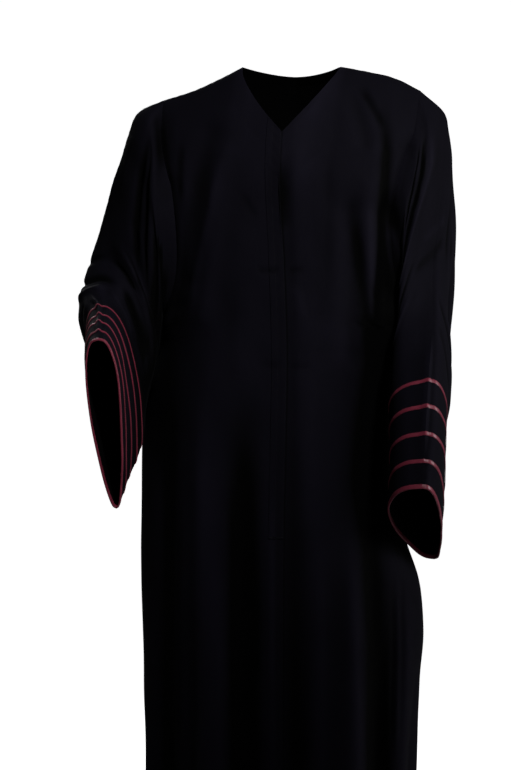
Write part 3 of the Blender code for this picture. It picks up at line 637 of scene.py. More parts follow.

FOLD_LINES = {
    # for each piece: half width and depth in millimetres (a ridge is positive), then
    # its points, which give millimetres from the middle and height in millimetres on
    # the body, and millimetres from the armhole and degrees round from the top seam
    # on a sleeve
    "front_left": (
        # Chest and belly
        (6, -3.0, ((113, -37), (131, -62), (144, -84), (157, -108))),
        (9, -6.0, ((151, -46), (154, -80), (163, -142), (162, -220), (160, -313), (158, -406),
                   (155, -484))),
        (18, -8.0, ((164, -300), (149, -530), (134, -655), (132, -780))),
        (8, -3.6, ((112, -225), (121, -310), (136, -430), (146, -500))),
        (7, 1.2, ((134, -228), (140, -314), (143, -370))),
        (10, -0.8, ((72, -120), (76, -230), (70, -400))),
        (4, -1.6, ((12, -331), (40, -328))),
        (4, -1.3, ((12, -478), (34, -480), (52, -475))),
        (6, 1.2, ((14, -350), (30, -372), (36, -410))),
        # Skirt
        (10, -2.4, ((22, -480), (27, -620), (33, -1000), (36, -1380))),
        (9, 1.8, ((62, -700), (61, -1100), (58, -1400))),
        (12, 4.0, ((108, -720), (113, -820), (119, -1100), (120, -1400))),
        (15, -9.0, ((138, -620), (142, -780), (149, -901), (151, -1103), (150, -1400))),
        (4, -2.2, ((173, -781), (174, -934), (171, -1106))),
        (4, 1.6, ((178, -785), (180, -934), (177, -1106))),
        (4, -2.0, ((184, -783), (186, -936), (183, -1109))),
        (8, 2.2, ((193, -840), (193, -937), (188, -1250))),
    ),
    "front_right": (
        # Chest and belly
        (5, -1.1, ((-62, -208), (-37, -248.5))),
        (14, -1.6, ((-121, -124), (-138, -218), (-166, -332), (-176, -400))),
        (9, 2.4, ((-96, -140), (-112, -235), (-138, -340), (-146, -420))),
        (16, 8.0, ((-204, -360), (-212, -450), (-222, -530))),
        (6, -2.0, ((-168, -120), (-166, -230))),
        (4, -1.8, ((-40, -329), (-12, -331), (4, -329))),
        (4, -1.4, ((-34, -475), (-10, -477), (8, -475))),
        (8, -0.8, ((-70, -330), (-78, -430), (-70, -540))),
        # Skirt
        (15, -7.0, ((-178, -500), (-181, -620), (-182, -783), (-180, -1066), (-176, -1380))),
        (13, 3.6, ((-126, -480), (-126, -718), (-124, -934), (-120, -1350))),
        (7, 1.6, ((-85, -600), (-82, -840), (-79, -1102), (-76, -1400))),
        (18, -7.5, ((-56, -500), (-60, -640), (-61, -901), (-61, -1101), (-60, -1400))),
        (7, 1.6, ((-12, -620), (-10, -839), (-7, -1250))),
        (5, -1.8, ((-160, -640), (-163, -860), (-160, -1200))),
    ),
    "back": (
        (9, -4.5, ((-172, -110), (-160, -200), (-158, -330), (-150, -460))),
        (8, 2.4, ((-142, -150), (-134, -280), (-128, -430))),
        (9, -4.5, ((168, -100), (158, -190), (152, -320), (140, -450))),
        (8, 2.4, ((136, -140), (130, -290), (120, -420))),
        (14, -3.0, ((-90, -60), (-60, -130), (-40, -230))),
        (13, -3.0, ((96, -70), (70, -140), (52, -260))),
        (10, -2.6, ((12, -200), (4, -380), (10, -620))),
        (8, -3.6, ((-70, -560), (-74, -820), (-80, -1100), (-82, -1400))),
        (7, 2.2, ((-50, -600), (-50, -900), (-54, -1380))),
        (10, -4.0, ((-136, -620), (-142, -840), (-146, -1120), (-144, -1400))),
        (6, -2.2, ((-20, -700), (-18, -960), (-22, -1360))),
        (9, -4.0, ((40, -520), (48, -780), (50, -1060), (54, -1400))),
        (7, 2.4, ((72, -580), (78, -860), (80, -1390))),
        (9, -4.4, ((112, -500), (118, -760), (122, -1080), (118, -1400))),
        (5, -1.8, ((150, -800), (152, -980), (150, -1240))),
        (8, -2.6, ((-190, -760), (-192, -1000), (-186, -1380))),
    ),
    # On the sleeves, degrees towards the front are positive
    "sleeve_right": (
        (6, 5.0, ((400, 0), (520, 0), (644, 0))),
        (7, -4.6, ((322, -40), (346, 0), (366, 40))),
        (11, 3.8, ((372, -34), (384, 0), (392, 30))),
        (6, -2.4, ((290, -36), (298, 0), (306, 24))),
    ),
    "sleeve_right_front": (
        (7, -5.0, ((45, 34), (120, 40), (215, 48), (290, 66))),
        (6, -4.0, ((55, 50), (130, 60), (205, 66), (270, 84))),
        (16, -5.0, ((80, 84), (180, 94), (290, 104))),
        (7, -6.0, ((366, 40), (380, 70), (392, 104))),
        (7, 2.6, ((392, 30), (404, 56), (412, 76))),
        (5, -3.0, ((306, 24), (320, 40), (336, 66))),
        (14, 7.0, ((50, 152), (160, 152), (300, 148))),
        (6, -2.0, ((270, 40), (300, 74), (318, 112))),
        (8, -2.2, ((240, 96), (330, 120), (400, 136))),
    ),
    "sleeve_right_back": (
        (7, -3.0, ((60, -40), (130, -46), (230, -40))),
        (6, -4.0, ((318, -40), (338, -84), (352, -120))),
        (7, 2.6, ((372, -34), (384, -60), (392, -90))),
        (5, -3.0, ((424, -16), (436, -44), (446, -78))),
        (7, -2.4, ((150, -70), (230, -88), (300, -100))),
        (6, -2.0, ((420, -60), (470, -92), (500, -124))),
    ),
    "sleeve_left": (
        (6, 5.0, ((400, 0), (480, 0), (620, 0))),
        (7, -2.4, ((235, -30), (262, 0), (280, 26))),
        (8, 1.8, ((200, -26), (222, 0), (236, 20))),
    ),
    "sleeve_left_front": (
        (8, 3.0, ((40, 12), (110, 18), (190, 46), (262, 74))),
        (8, -6.0, ((36, 30), (110, 38), (180, 64), (250, 92))),
        (6, -3.4, ((28, 50), (70, 58), (120, 76))),
        (6, -2.4, ((250, 24), (290, 44), (320, 70))),
        (7, 1.8, ((300, 20), (350, 50), (380, 86))),
        (8, -2.6, ((330, 96), (420, 112), (500, 118))),
    ),
    "sleeve_left_back": (
        (8, -3.6, ((80, -30), (170, -44), (270, -40))),
        (7, 2.2, ((100, -60), (190, -74), (280, -72))),
        (6, -3.4, ((330, -14), (370, -50), (410, -92))),
        (6, -2.4, ((380, -10), (420, -44), (450, -78))),
    ),
}


def fine_places(places):
    """A sleeve's rows again, with more rows between them."""
    finer = [places[0]]
    for start, end in zip(places[:-1], places[1:]):
        count = math.ceil((end - start) / ROW_STEP - 1e-6)
        finer.extend(np.linspace(start, end, count + 1)[1:])
    return np.array(finer)


def finer_sleeve(grid, edge, places, wanted):
    """A sleeve half with more points, joined to the finer armhole edge."""
    rows = curve(places, grid.points, wanted)
    turns = np.linspace(0, 1, rows.shape[1])
    points = curve(turns, rows.transpose(1, 0, 2), np.linspace(0, 1, len(edge)))
    points = points.transpose(1, 0, 2)
    kept = 1 - ease(wanted / ARMHOLE_FADE)
    points += (edge - points[0])[None] * kept[:, None, None]
    points[0] = edge
    return Grid(grid.name, points, grid.turned)


def line_distance(first, second, points):
    """Distance of a piece's points from a fold line, and how much of the line is left there."""
    lengths = np.hypot(*np.diff(points, axis=0).T)
    total = lengths.sum()
    best = np.full(first.shape, np.inf)
    along = np.zeros_like(first)
    done = 0.0
    for start, end, length in zip(points[:-1], points[1:], lengths):
        away, share = from_line(first, second, start, end)
        nearer = away < best
        best = np.where(nearer, away, best)
        along = np.where(nearer, (done + share * length) / total, along)
        done += length
    return best, ease(np.minimum(along, 1 - along) / LINE_END + LINE_LEFT)


def drift(points):
    """A low, broad unevenness of all the cloth, the same on both sides of a seam."""
    draw = np.random.default_rng(11)
    total = np.zeros(points.shape[:-1])
    for number in range(DRIFT_WAVES):
        share = number / (DRIFT_WAVES - 1)
        length = DRIFT_LONGEST * (1 - share) + DRIFT_SHORTEST * share
        way = draw.normal(size=3) * DRIFT_WAYS
        way *= 2 * math.pi / length / np.linalg.norm(way)
        height = DRIFT_HIGHEST - DRIFT_FALL * share
        total += height * np.sin(points @ way + draw.uniform(0, 6.28))
    return total


def from_edge(points, edge):
    return np.linalg.norm(points - edge, axis=-1)


def seam_distance(grid):
    """Distance of a piece's points to its nearest seam."""
    points = grid.points
    if grid.name.startswith("sleeve"):
        seams = (points[:1], points[:, :1], points[:, -1:])
        return np.minimum.reduce([from_edge(points, seam) for seam in seams])
    far = from_edge(points, points[:, -1:])
    if grid.name == "back":
        far = np.minimum(far, from_edge(points, points[:, :1]))
    shoulder = from_edge(points, points[:1])
    return np.where(np.abs(points[..., 0]) >= NECK_HALF - MM,
                    np.minimum(far, shoulder), far)


def fold_room(grid, away):
    """How much of a fold line is kept: none at a seam that it doesn't cross."""
    if grid.name.startswith("sleeve"):
        away = np.minimum(from_edge(grid.points, grid.points[:1]),
                          from_edge(grid.points, grid.points[:, -1:]))
    return ease(away / LINE_CLEAR)


def seam_relief(points, away):
    """The cloth dips into its seams and puckers a little beside them."""
    beside = points @ np.array((0.9, 0.5, 1.0))
    long_wave, short_wave = PUCKER_WAVES
    pucker = np.sin(beside * long_wave) + 0.6 * np.sin(beside * short_wave + 1)
    return (-SEAM_DIP * bell(away / SEAM_DIP_WIDTH)
            + PUCKER * pucker * bell(away / PUCKER_WIDTH))


def measures(grid, places):
    """The two measures in which a piece's fold lines are given, their units and scale."""
    if grid.name.startswith("sleeve"):
        way = 1 if grid.name.endswith("front") else -1
        turn = way * np.linspace(0, 180, grid.points.shape[1])
        first, second = np.meshgrid(places, turn, indexing="ij")
        return first, second * DEGREE, (1000, 1), (1.0, DEGREE)
    return grid.points[..., 0], grid.points[..., 2], (1000, 1000), (1.0, 1.0)


def fold_lift(grid, places, room):
    """How far a piece's fold lines lift its points, and the painted shade (a painted highlight on
    a ridge) that each point gets from them.
    """
    first, second, units, scale = measures(grid, places)
    lift = np.zeros(first.shape)
    hollow = np.zeros(first.shape)
    for piece, lines in FOLD_LINES.items():
        if not grid.name.startswith(piece):
            continue
        for width, depth, points in lines:
            away, left = line_distance(first, second, np.array(points, float) / units * scale)
            lift += depth * MM * bell(away / (width * MM)) * left * room
            wide = bell(away / (width * FOLD_SHADE * MM)) * left
            hollow -= depth * MM * wide * room / DEEP_FULL
    return lift, hollow


def dress_form():
    """All the cloth as one fine form: a dictionary of grids with shared normals."""
    grids = body_grids(FINE, STRIP_COLUMNS)
    rough = sleeve_grids(body_grids(COUNTS, 2))
    edges = armhole_edges(grids, FINE)
    along = {}
    for name, grid in rough.items():
        places = sleeve_places(SLEEVES[name.split("_")[1]][-1].at)
        along[name] = fine_places(places)
        grids[name] = finer_sleeve(grid, edges[name], places, along[name])
    grid_normals(grids.values())
    for name in rough:
        side, half = name.split("_")[1:]
        grid = grids[name]
        grid.points = crease(grid.points, grid.normals, along[name], half, CREASES[side])
    grid_normals(grids.values())
    for name, grid in grids.items():
        grid.places = along.get(name)
        away = seam_distance(grid)
        lift, grid.hollow = fold_lift(grid, grid.places, fold_room(grid, away))
        grid.lift = drift(grid.points) + seam_relief(grid.points, away) + lift
    for grid in grids.values():
        grid.points = grid.points + grid.normals * grid.lift[..., None]
    grid_normals(grids.values())
    tuck_under_lap(grids["front_left"])
    open_lap(grids["front_right"])
    paint_fold_shading(grids)
    return grids


def row_hollow(grid):
    """How far each point lies below its neighbours along its row, in millimetres."""
    points = grid.points
    columns = points.shape[1]
    steps = np.linalg.norm(np.diff(points, axis=1), axis=2).mean(axis=1)
    at = np.arange(columns)
    total = np.zeros(points.shape[:2])
    for row, step in enumerate(steps):
        reach = max(1, round(HOLLOW_REACH / max(step, 1e-5)))
        reach = np.minimum(reach, np.minimum(at, columns - 1 - at))
        middle = (points[row, at - reach] + points[row, at + reach]) / 2
        total[row] = ((middle - points[row]) * grid.normals[row]).sum(axis=1) * 1000
    return total


def grid_faces(rows, columns, first=0):
    """Four-sided faces of a grid of points, numbered row by row from `first`."""
    at = np.arange(rows * columns).reshape(rows, columns) + first
    return np.stack((at[:-1, :-1], at[1:, :-1], at[1:, 1:], at[:-1, 1:]),
                    axis=-1).reshape(-1, 4)


def coarse(grid, shift=0.0):
    """Every few rows and columns of a grid, with its last ones, and where they are."""
    rows, columns = grid.points.shape[:2]
    down = np.unique(np.append(np.arange(0, rows, SHADE_STEP), rows - 1))
    across = np.unique(np.append(np.arange(0, columns, SHADE_STEP), columns - 1))
    points = grid.points[np.ix_(down, across)]
    normals = grid.normals[np.ix_(down, across)]
    return points + normals * shift, normals, down, across


def cloth_tree(grids):
    """All the cloth as one tree of faces for rays."""
    verts, faces = [], []
    for grid in grids.values():
        points = coarse(grid)[0]
        faces.extend(grid_faces(*points.shape[:2], len(verts)).tolist())
        verts.extend(points.reshape(-1, 3).tolist())
    return BVHTree.FromPolygons(verts, faces)


def sky():
    """Directions spread evenly over half a ball, more of them near its top."""
    turn = np.arange(SHADE_RAYS) * math.pi * (3 - math.sqrt(5))
    up = np.sqrt(1 - (np.arange(SHADE_RAYS) + 0.5) / SHADE_RAYS)
    side = np.sqrt(1 - up ** 2)
    return np.stack((side * np.cos(turn), side * np.sin(turn), up), axis=1)


def shut_in(grid, tree):
    """Share of the room round each point that other cloth takes up."""
    points, normals, down, across = coarse(grid, SHADE_START)
    rays = sky()
    shut = np.zeros(points.shape[:2])
    for index in np.ndindex(shut.shape):
        normal = normals[index]
        side = np.cross(normal, (0.31, 0.17, 0.93))
        side /= max(np.linalg.norm(side), 1e-6)
        ways = rays @ np.stack((side, np.cross(normal, side), normal))
        start = Vector(points[index])
        hits = [tree.ray_cast(start, Vector(way), SHADE_REACH)[3] for way in ways]
        shut[index] = sum(1 - hit / SHADE_REACH for hit in hits if hit is not None)
    shut /= SHADE_RAYS
    rows, columns = (np.arange(count) for count in grid.points.shape[:2])
    wide = np.stack([np.interp(columns, across, row) for row in shut])
    return np.stack([np.interp(rows, down, column) for column in wide.T], axis=1)


def paint_fold_shading(grids):
    """Give each point its painted shading: 1 for the darkest painted shade, in the deepest fold
    or where other cloth shuts it in, 0 on open cloth and -1 for the brightest painted highlight
    on a sharp ridge.
    """
    tree = cloth_tree(grids)
    for grid in grids.values():
        folds = row_hollow(grid) / FOLD_FULL
        folds += shut_in(grid, tree) / SHUT_FULL
        grid.hollow = np.clip(grid.hollow + folds, -1, 1)


FORM = {}


def form():
    """The cloth's form, worked out the first time it is asked for."""
    if not FORM:
        FORM.update(dress_form())
    return FORM


def edge_thickness(grid, thin, thick):
    """Thickness of the cloth at each point, more where its edge is folded in."""
    points = grid.points
    if grid.name.startswith("sleeve"):
        return np.full(points.shape[:-1], thin)
    hem = points[..., 2] - HEM_Z
    neck = np.where(np.abs(points[..., 0]) < NECK_HALF, from_edge(points, points[:1]), 1.0)
    away = np.minimum(hem, neck)
    if grid.name != "back":
        away = np.minimum(away, from_edge(points, points[:, :1]))
    width = np.where(hem < NEAR_HEM, HEM_TURNED, EDGE_TURNED)
    return thin + (thick - thin) * (1 - ease((away - width) / TURNED_STEP))


# Meshes
THREAD_SIDES = 6
THREAD_PLACES = (0.0, 0.12, 0.5, 0.88, 1.0)  # shares of a stitch's length
THREAD_RISES = (-0.9, 0.15, 0.5, 0.15, -0.9)  # of its radius, above the cloth there
BINDING_FOLD = 0.001      # from a sleeve's edge up to where its binding starts to turn
BINDING_ROUND = 0.0008    # how far its edges are rounded
THREAD_START = 0.15       # share of a stitch and its gap that lies before the thread
STITCH_GAP = 0.3          # of a stitch's length


def new_piece(name, verts, faces, material, smooth=40):
    mesh = bpy.data.meshes.new(name)
    mesh.from_pydata(np.asarray(verts).tolist(), [], np.asarray(faces).tolist())
    mesh.validate()
    mesh.materials.append(material)
    mesh.shade_smooth()
    mesh.set_sharp_from_angle(angle=math.radians(smooth))
    thing = bpy.data.objects.new(name, mesh)
    bpy.context.scene.collection.objects.link(thing)
    return thing


def keep_painted_shading(thing, values):
    """Keep each point's painted shading, which darkens the cloth's colour in folds and lightens
    it on ridges.
    """
    depth = thing.data.attributes.new("Hollow", "FLOAT", "POINT")
    depth.data.foreach_set("value", np.asarray(values, dtype=np.float32).ravel())


def shell(name, outer, inner, turned, material):
    """A closed thin sheet between two like grids of points."""
    rows, columns = outer.shape[:2]
    count = rows * columns
    at = np.arange(count).reshape(rows, columns)
    front = grid_faces(rows, columns)
    border = np.concatenate((at[0, :-1], at[:-1, -1], at[-1, :0:-1], at[:0:-1, 0]))
    after = np.roll(border, -1)
    rim = np.stack((border, after, after + count, border + count), axis=-1)
    faces = np.concatenate((front, front[:, ::-1] + count, rim))
    if turned:
        faces = faces[:, ::-1]
    verts = np.concatenate((outer.reshape(-1, 3), inner.reshape(-1, 3)))
    return new_piece(name, verts, faces, material)


def tube_section(name, rings, turned, material):
    """A closed bar: rings of points, one ring for each point of its section."""
    rings = np.array(rings)
    count, columns = rings.shape[:2]
    at = np.arange(count * columns).reshape(count, columns)
    nxt = np.roll(at, -1, axis=0)
    sides = np.stack((at[:, :-1], at[:, 1:], nxt[:, 1:], nxt[:, :-1]), axis=-1).reshape(-1, 4)
    if turned:
        sides = sides[:, ::-1]
    faces = sides.tolist()
    for j, turn in ((0, turned), (columns - 1, not turned)):
        ends = at[:, j].tolist()
        for k in range(1, count // 2):
            four = [ends[k - 1], ends[k], ends[count - 1 - k], ends[count - k]]
            faces.append(four[::-1] if turn else four)
    return new_piece(name, rings.reshape(-1, 3), faces, material, smooth=50)


def read_run(marks, at, rows):
    """Points or normals of a run, read at other places along it."""
    return np.stack([np.interp(marks, at, rows[:, k]) for k in range(3)], axis=-1)


def thread_faces():
    """Faces of one thread, numbered from its first end over three rings to its last end."""
    faces = []
    for turn in range(THREAD_SIDES):
        other = (turn + 1) % THREAD_SIDES
        faces.append((0, 1 + other, 1 + turn))
        for ring in (1, 1 + THREAD_SIDES):
            after = ring + THREAD_SIDES
            faces.append((ring + turn, ring + other, after + other))
            faces.append((ring + turn, after + other, after + turn))
        ring = 1 + 2 * THREAD_SIDES
        faces.append((ring + turn, ring + other, 1 + 3 * THREAD_SIDES))
    return np.array(faces)


def stitches(name, runs, length, gap, radius, material):
    """Short threads along runs of (points, normals), each half sunk in the cloth."""
    angles = [2 * math.pi * turn / THREAD_SIDES for turn in range(THREAD_SIDES)]
    rises = radius * np.array(THREAD_RISES)
    one = thread_faces()
    verts, faces = [], []
    for points, normals in runs:
        steps = np.linalg.norm(np.diff(points, axis=0), axis=1)
        at = np.concatenate(((0.0,), np.cumsum(steps)))
        for number in range(int(at[-1] / (length + gap))):
            marks = (number + THREAD_START) * (length + gap) + length * np.array(THREAD_PLACES)
            middle = read_run(marks, at, points)
            up = read_run(marks[2], at, normals)
            up /= max(np.linalg.norm(up), 1e-9)
            way = middle[-1] - middle[0]
            way /= max(np.linalg.norm(way), 1e-9)
            across = np.cross(way, up)
            faces.extend((one + len(verts)).tolist())
            verts.append(middle[0] + up * rises[0])
            for k in (1, 2, 3):
                for angle in angles:
                    verts.append(middle[k] + up * (rises[k] + radius * math.sin(angle))
                                 + across * radius * math.cos(angle))
            verts.append(middle[4] + up * rises[4])
    return new_piece(name, verts, faces, material, smooth=80)


# Materials
RIDGE_PAINTED_HIGHLIGHT = 1.7           # painted highlight: share of a colour's value on a sharp ridge
FOLD_PAINTED_SHADE = 0.03          # painted shade: share of a colour's value in the deepest fold


def new_group(name, inputs, outputs):
    """An empty shader node group with its sockets, its first node and its last node."""
    tree = bpy.data.node_groups.new(name, "ShaderNodeTree")
    for label, default in inputs:
        kind = "NodeSocketFloat" if isinstance(default, float) else "NodeSocketColor"
        tree.interface.new_socket(label, in_out="INPUT", socket_type=kind).default_value = default
    for label, kind in outputs:
        tree.interface.new_socket(label, in_out="OUTPUT", socket_type=kind)
    return tree, tree.nodes.new("NodeGroupInput"), tree.nodes.new("NodeGroupOutput")


def fill(node, values):
    """Set a node's inputs, or join them where the value is another node's output."""
    for key, value in values.items():
        if isinstance(value, bpy.types.NodeSocket):
            node.id_data.links.new(value, node.inputs[key])
        else:
            node.inputs[key].default_value = value
    return node


def math_node(tree, operation, first, second):
    node = fill(tree.nodes.new("ShaderNodeMath"), {0: first, 1: second})
    node.operation = operation
    return node.outputs[0]


def noise(tree, vector, scale, detail, roughness):
    node = fill(tree.nodes.new("ShaderNodeTexNoise"),
                {"Vector": vector, "Scale": scale, "Detail": detail, "Roughness": roughness})
    return node.outputs["Fac"]


def stretched(tree, scales):
    """Places on the object, stretched along its axes."""
    place = tree.nodes.new("ShaderNodeTexCoord").outputs["Object"]
    mapping = fill(tree.nodes.new("ShaderNodeMapping"), {"Vector": place, "Scale": scales})
    return mapping.outputs["Vector"]


def crinkle_group():
    """The pebbled, slightly lengthwise crinkle of crape, with its fine threads."""
    tree, start, end = new_group("Crinkle", (("Grain", 900.0), ("Rumple", 110.0)),
                                 (("Height", "NodeSocketFloat"), ("Wear", "NodeSocketFloat")))
    lengthwise = stretched(tree, (1.0, 1.0, 0.45))
    fine = noise(tree, lengthwise, start.outputs["Grain"], 3.0, 0.65)
    broad = noise(tree, lengthwise, start.outputs["Rumple"], 2.0, 0.5)
    height = math_node(tree, "ADD", fine, math_node(tree, "MULTIPLY", broad, 1.6))
    fill(end, {"Height": height, "Wear": broad})
    return tree


def dye_and_shading_group():
    """Uneven dye: a colour a little lighter and darker in places at random; and painted shade:
    darker in folds and shut-in places, lighter on sharp ridges as a painted highlight.
    """
    tree, start, end = new_group(
        "Uneven dye", (("Color", (0.5, 0.5, 0.5, 1.0)), ("Amount", 0.15), ("Size", 14.0)),
        (("Color", "NodeSocketColor"), ("Value", "NodeSocketFloat")))
    cloud = noise(tree, stretched(tree, (1.0, 1.0, 0.6)), start.outputs["Size"], 4.0, 0.6)
    centred = math_node(tree, "SUBTRACT", cloud, 0.5)
    amount = math_node(tree, "MULTIPLY", start.outputs["Amount"], 4.0)
    uneven = math_node(tree, "ADD", math_node(tree, "MULTIPLY", centred, amount), 1.0)
    # Painted shading: darker in folds and shut-in places, lighter on sharp ridges
    depth = tree.nodes.new("ShaderNodeAttribute")
    depth.attribute_name = "Hollow"
    fold_shade_and_highlight = fill(tree.nodes.new("ShaderNodeMapRange"),
                  {"Value": depth.outputs["Fac"], "From Min": -1.0, "To Min": RIDGE_PAINTED_HIGHLIGHT,
                   "To Max": FOLD_PAINTED_SHADE})
    value = math_node(tree, "MULTIPLY", uneven, fold_shade_and_highlight.outputs["Result"])
    shade = fill(tree.nodes.new("ShaderNodeHueSaturation"),
                 {"Value": value, "Color": start.outputs["Color"]})
    fill(end, {"Color": shade.outputs["Color"], "Value": cloud})
    return tree


def group_node(tree, name, values):
    makers = {"Crinkle": crinkle_group, "Uneven dye": dye_and_shading_group}
    node = tree.nodes.new("ShaderNodeGroup")
    node.node_tree = bpy.data.node_groups.get(name) or makers[name]()
    return fill(node, values)


def cloth_material(name, colour, dye, grain, bump, rough, sheen, tint, gloss_level):
    """A woven cloth: uneven dye with painted shade in folds and a painted highlight on ridges,
    crinkle in its gloss and its surface, and sheen.

    `dye` is (amount, size), `grain` is (grain, rumple), `bump` is (strength, distance),
    `rough` is (least, most) and `sheen` is (weight, roughness).
    """
    material = bpy.data.materials.get(name)
    if material:
        return material
    material = bpy.data.materials.new(name)
    material.use_nodes = True
    material.diffuse_color = (*colour[:3], 1.0)
    tree = material.node_tree
    dyed_and_shaded = group_node(tree, "Uneven dye", {"Color": (*colour[:3], 1.0), "Amount": dye[0],
                                           "Size": dye[1]})
    crinkled = group_node(tree, "Crinkle", {"Grain": grain[0], "Rumple": grain[1]})
    gloss = fill(tree.nodes.new("ShaderNodeMapRange"),
                 {"Value": crinkled.outputs["Wear"], "To Min": rough[0], "To Max": rough[1]})
    relief = fill(tree.nodes.new("ShaderNodeBump"),
                  {"Height": crinkled.outputs["Height"], "Strength": bump[0],
                   "Distance": bump[1]})
    fill(tree.nodes["Principled BSDF"],
         {"Base Color": dyed_and_shaded.outputs["Color"], "Roughness": gloss.outputs["Result"],
          "Normal": relief.outputs["Normal"], "Sheen Weight": sheen[0],
          "Sheen Roughness": sheen[1], "Sheen Tint": tint, "Specular IOR Level": gloss_level})
    return material


def crape():
    return cloth_material("Black crape", bpy.context.scene.robe_colours.crape,
                          (0.12, 12.0), (1100.0, 130.0), (0.55, 0.00025), (0.80, 0.92),
                          (0.005, 0.42), (0.62, 0.64, 0.78, 1.0), 0.03)


def wine_satin():
    return cloth_material("Wine satin", bpy.context.scene.robe_colours.wine,
                          (0.16, 60.0), (2400.0, 260.0), (0.35, 0.00012), (0.30, 0.48),
                          (0.06, 0.35), (0.90, 0.45, 0.52, 1.0), 0.30)


def black_thread():
    return cloth_material("Black thread", bpy.context.scene.robe_colours.thread,
                          (0.10, 80.0), (3200.0, 700.0), (0.4, 0.00008), (0.42, 0.60),
                          (0.02, 0.4), (0.7, 0.7, 0.8, 1.0), 0.08)


def wine_thread():
    colour = [0.85 * value for value in bpy.context.scene.robe_colours.wine[:3]]
    return cloth_material("Wine thread", colour,
                          (0.10, 80.0), (3200.0, 700.0), (0.4, 0.00008), (0.40, 0.58),
                          (0.05, 0.4), (0.9, 0.5, 0.55, 1.0), 0.25)


def camera_rays(tree):
    """1 where the camera looks straight at a surface, and 0 in its light on others."""
    return tree.nodes.new("ShaderNodeLightPath").outputs["Is Camera Ray"]


def pale_floor(colour):
    """A plain pale surface that looks as bright as a lit studio paper."""
    material = bpy.data.materials.new("Pale floor")
    material.use_nodes = True
    tree = material.node_tree
    glow = math_node(tree, "MULTIPLY", camera_rays(tree), GLOW)
    fill(tree.nodes["Principled BSDF"],
         {"Base Color": (*colour[:3], 1.0), "Roughness": 0.85, "Specular IOR Level": 0.2,
          "Emission Color": (1.0, 1.0, 1.0, 1.0), "Emission Strength": glow})
    return material


def in_place(thing, slot, *nodes):
    """Tie a piece to the body and hide the parts of the nodes that it stands for."""
    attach(thing, "root")
    if nodes:
        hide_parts(*nodes)
    return thing


# Pieces
SLEEVE_HALVES = ("sleeve_right_front", "sleeve_right_back", "sleeve_left_front",
                 "sleeve_left_back")
STRIP_ROWS = FINE.upper + FINE.tack + 1
STRIP_SWELL = 0.00035     # of the placket strip between its rows of thread
STRIP_RIPPLE = 0.00018    # along the strip
PLACKET_ROWS = (0.06, 0.60, 0.94)  # shares of the strip's width, from the lap's edge
HEM_FOLD = 0.020          # from the hem up to its row of thread
TRIM_EDGE = 0.45          # of a tape's thickness at its edges
TRIM_RIPPLE = 0.06        # of its thickness, along it
TAPE_STEPS = 7            # rows of a tape's points, from edge to edge
TRIM_SEAT = 0.92          # of its thickness, where thread lies on it
TRIM_STEPS = 13           # rows read across a tape or binding for its sewing
TRIM_THREADS = (2, 10)    # those that carry thread
TACK_RISE = 0.0015        # of the bar tack above the strip's foot
TACK_HEIGHT = 0.0019
TACK_THREADS = 56
THREAD_END = 0.030        # from the bar tack down to the thread's end


def panel(name):
    """One cut piece of the cloth."""
    sizes = bpy.context.scene.robe_sizes
    grid = form()[name]
    thick = edge_thickness(grid, sizes.cloth, sizes.folded_edge)
    inner = grid.points - grid.normals * thick[..., None]
    cloth = shell(name + "_cloth", grid.points, inner, grid.turned, crape())
    # The outer face gets the painted shading of folds and ridges; the inner face gets the darkest
    # painted shade all over.
    keep_painted_shading(cloth, np.stack((grid.hollow, np.ones_like(grid.hollow))))
    return in_place(cloth, "crape", name)


def strip_surface(grid):
    """Outer face of the placket strip: it lies on the cloth and swells between its rows."""
    points = grid.points[:STRIP_ROWS, :STRIP_COLUMNS]
    normals = grid.normals[:STRIP_ROWS, :STRIP_COLUMNS]
    across = np.linspace(0, 1, STRIP_COLUMNS)
    swell = STRIP_SWELL * np.abs(np.sin(math.pi * across * 2)) ** 0.8
    down = points[:, :1, 2]
    ripple = (STRIP_RIPPLE * np.sin(down * 420 + 2 * np.sin(down * 61))
              * np.sin(math.pi * across))
    lift = SEAM_GAP + bpy.context.scene.robe_sizes.trim + swell + ripple
    return points + normals * lift[..., None], normals


def read_rows(rows, at):
    """Rows of a grid, read at numbers that may lie between two of them."""
    low = np.minimum(at.astype(int), len(rows) - 2)
    t = (at - low)[:, None, None]
    return rows[low] * (1 - t) + rows[low + 1] * t


def finer_rows(grid, start, end, count):
    """Points and normals between two rows of a grid, at `count` even steps."""
    at = np.linspace(0, end - start, count)
    return [read_rows(rows[start:end + 1], at) for rows in (grid.points, grid.normals)]


def row_at(grid, place):
    return int(np.argmin(np.abs(grid.places - place)))


def tape_rows(grid, number):
    """First and last row of the cloth under one of a sleeve half's tapes."""
    middle = grid.places[-1] - (number + 1) * TAPE_PITCH
    return row_at(grid, middle - TAPE_WIDTH / 2), row_at(grid, middle + TAPE_WIDTH / 2)


def tape(grid, number):
    """A flat tape with soft edges, sewn round half a sleeve."""
    points, normals = finer_rows(grid, *tape_rows(grid, number), TAPE_STEPS)
    across = np.linspace(-1, 1, TAPE_STEPS)
    thickness = bpy.context.scene.robe_sizes.trim
    crown = TRIM_EDGE + (1 - TRIM_EDGE) * (1 - np.abs(across) ** 4)
    middle = points[TAPE_STEPS // 2]
    steps = np.linalg.norm(np.diff(middle, axis=0, prepend=middle[:1]), axis=1)
    along = np.cumsum(steps)
    ripple = TRIM_RIPPLE * np.sin(along * 390 + number) * np.sin(along * 150)
    lift = thickness * crown[:, None] * (1 + ripple[None])
    outer = points + normals * (SEAM_GAP + lift)[..., None]
    inner = points + normals * SEAM_GAP * 0.5
    label = f"{grid.name.replace('sleeve', 'tape')}_{number + 1}"
    return in_place(shell(label + "_satin", outer, inner, grid.turned, wine_satin()),
                    "wine_satin", label)


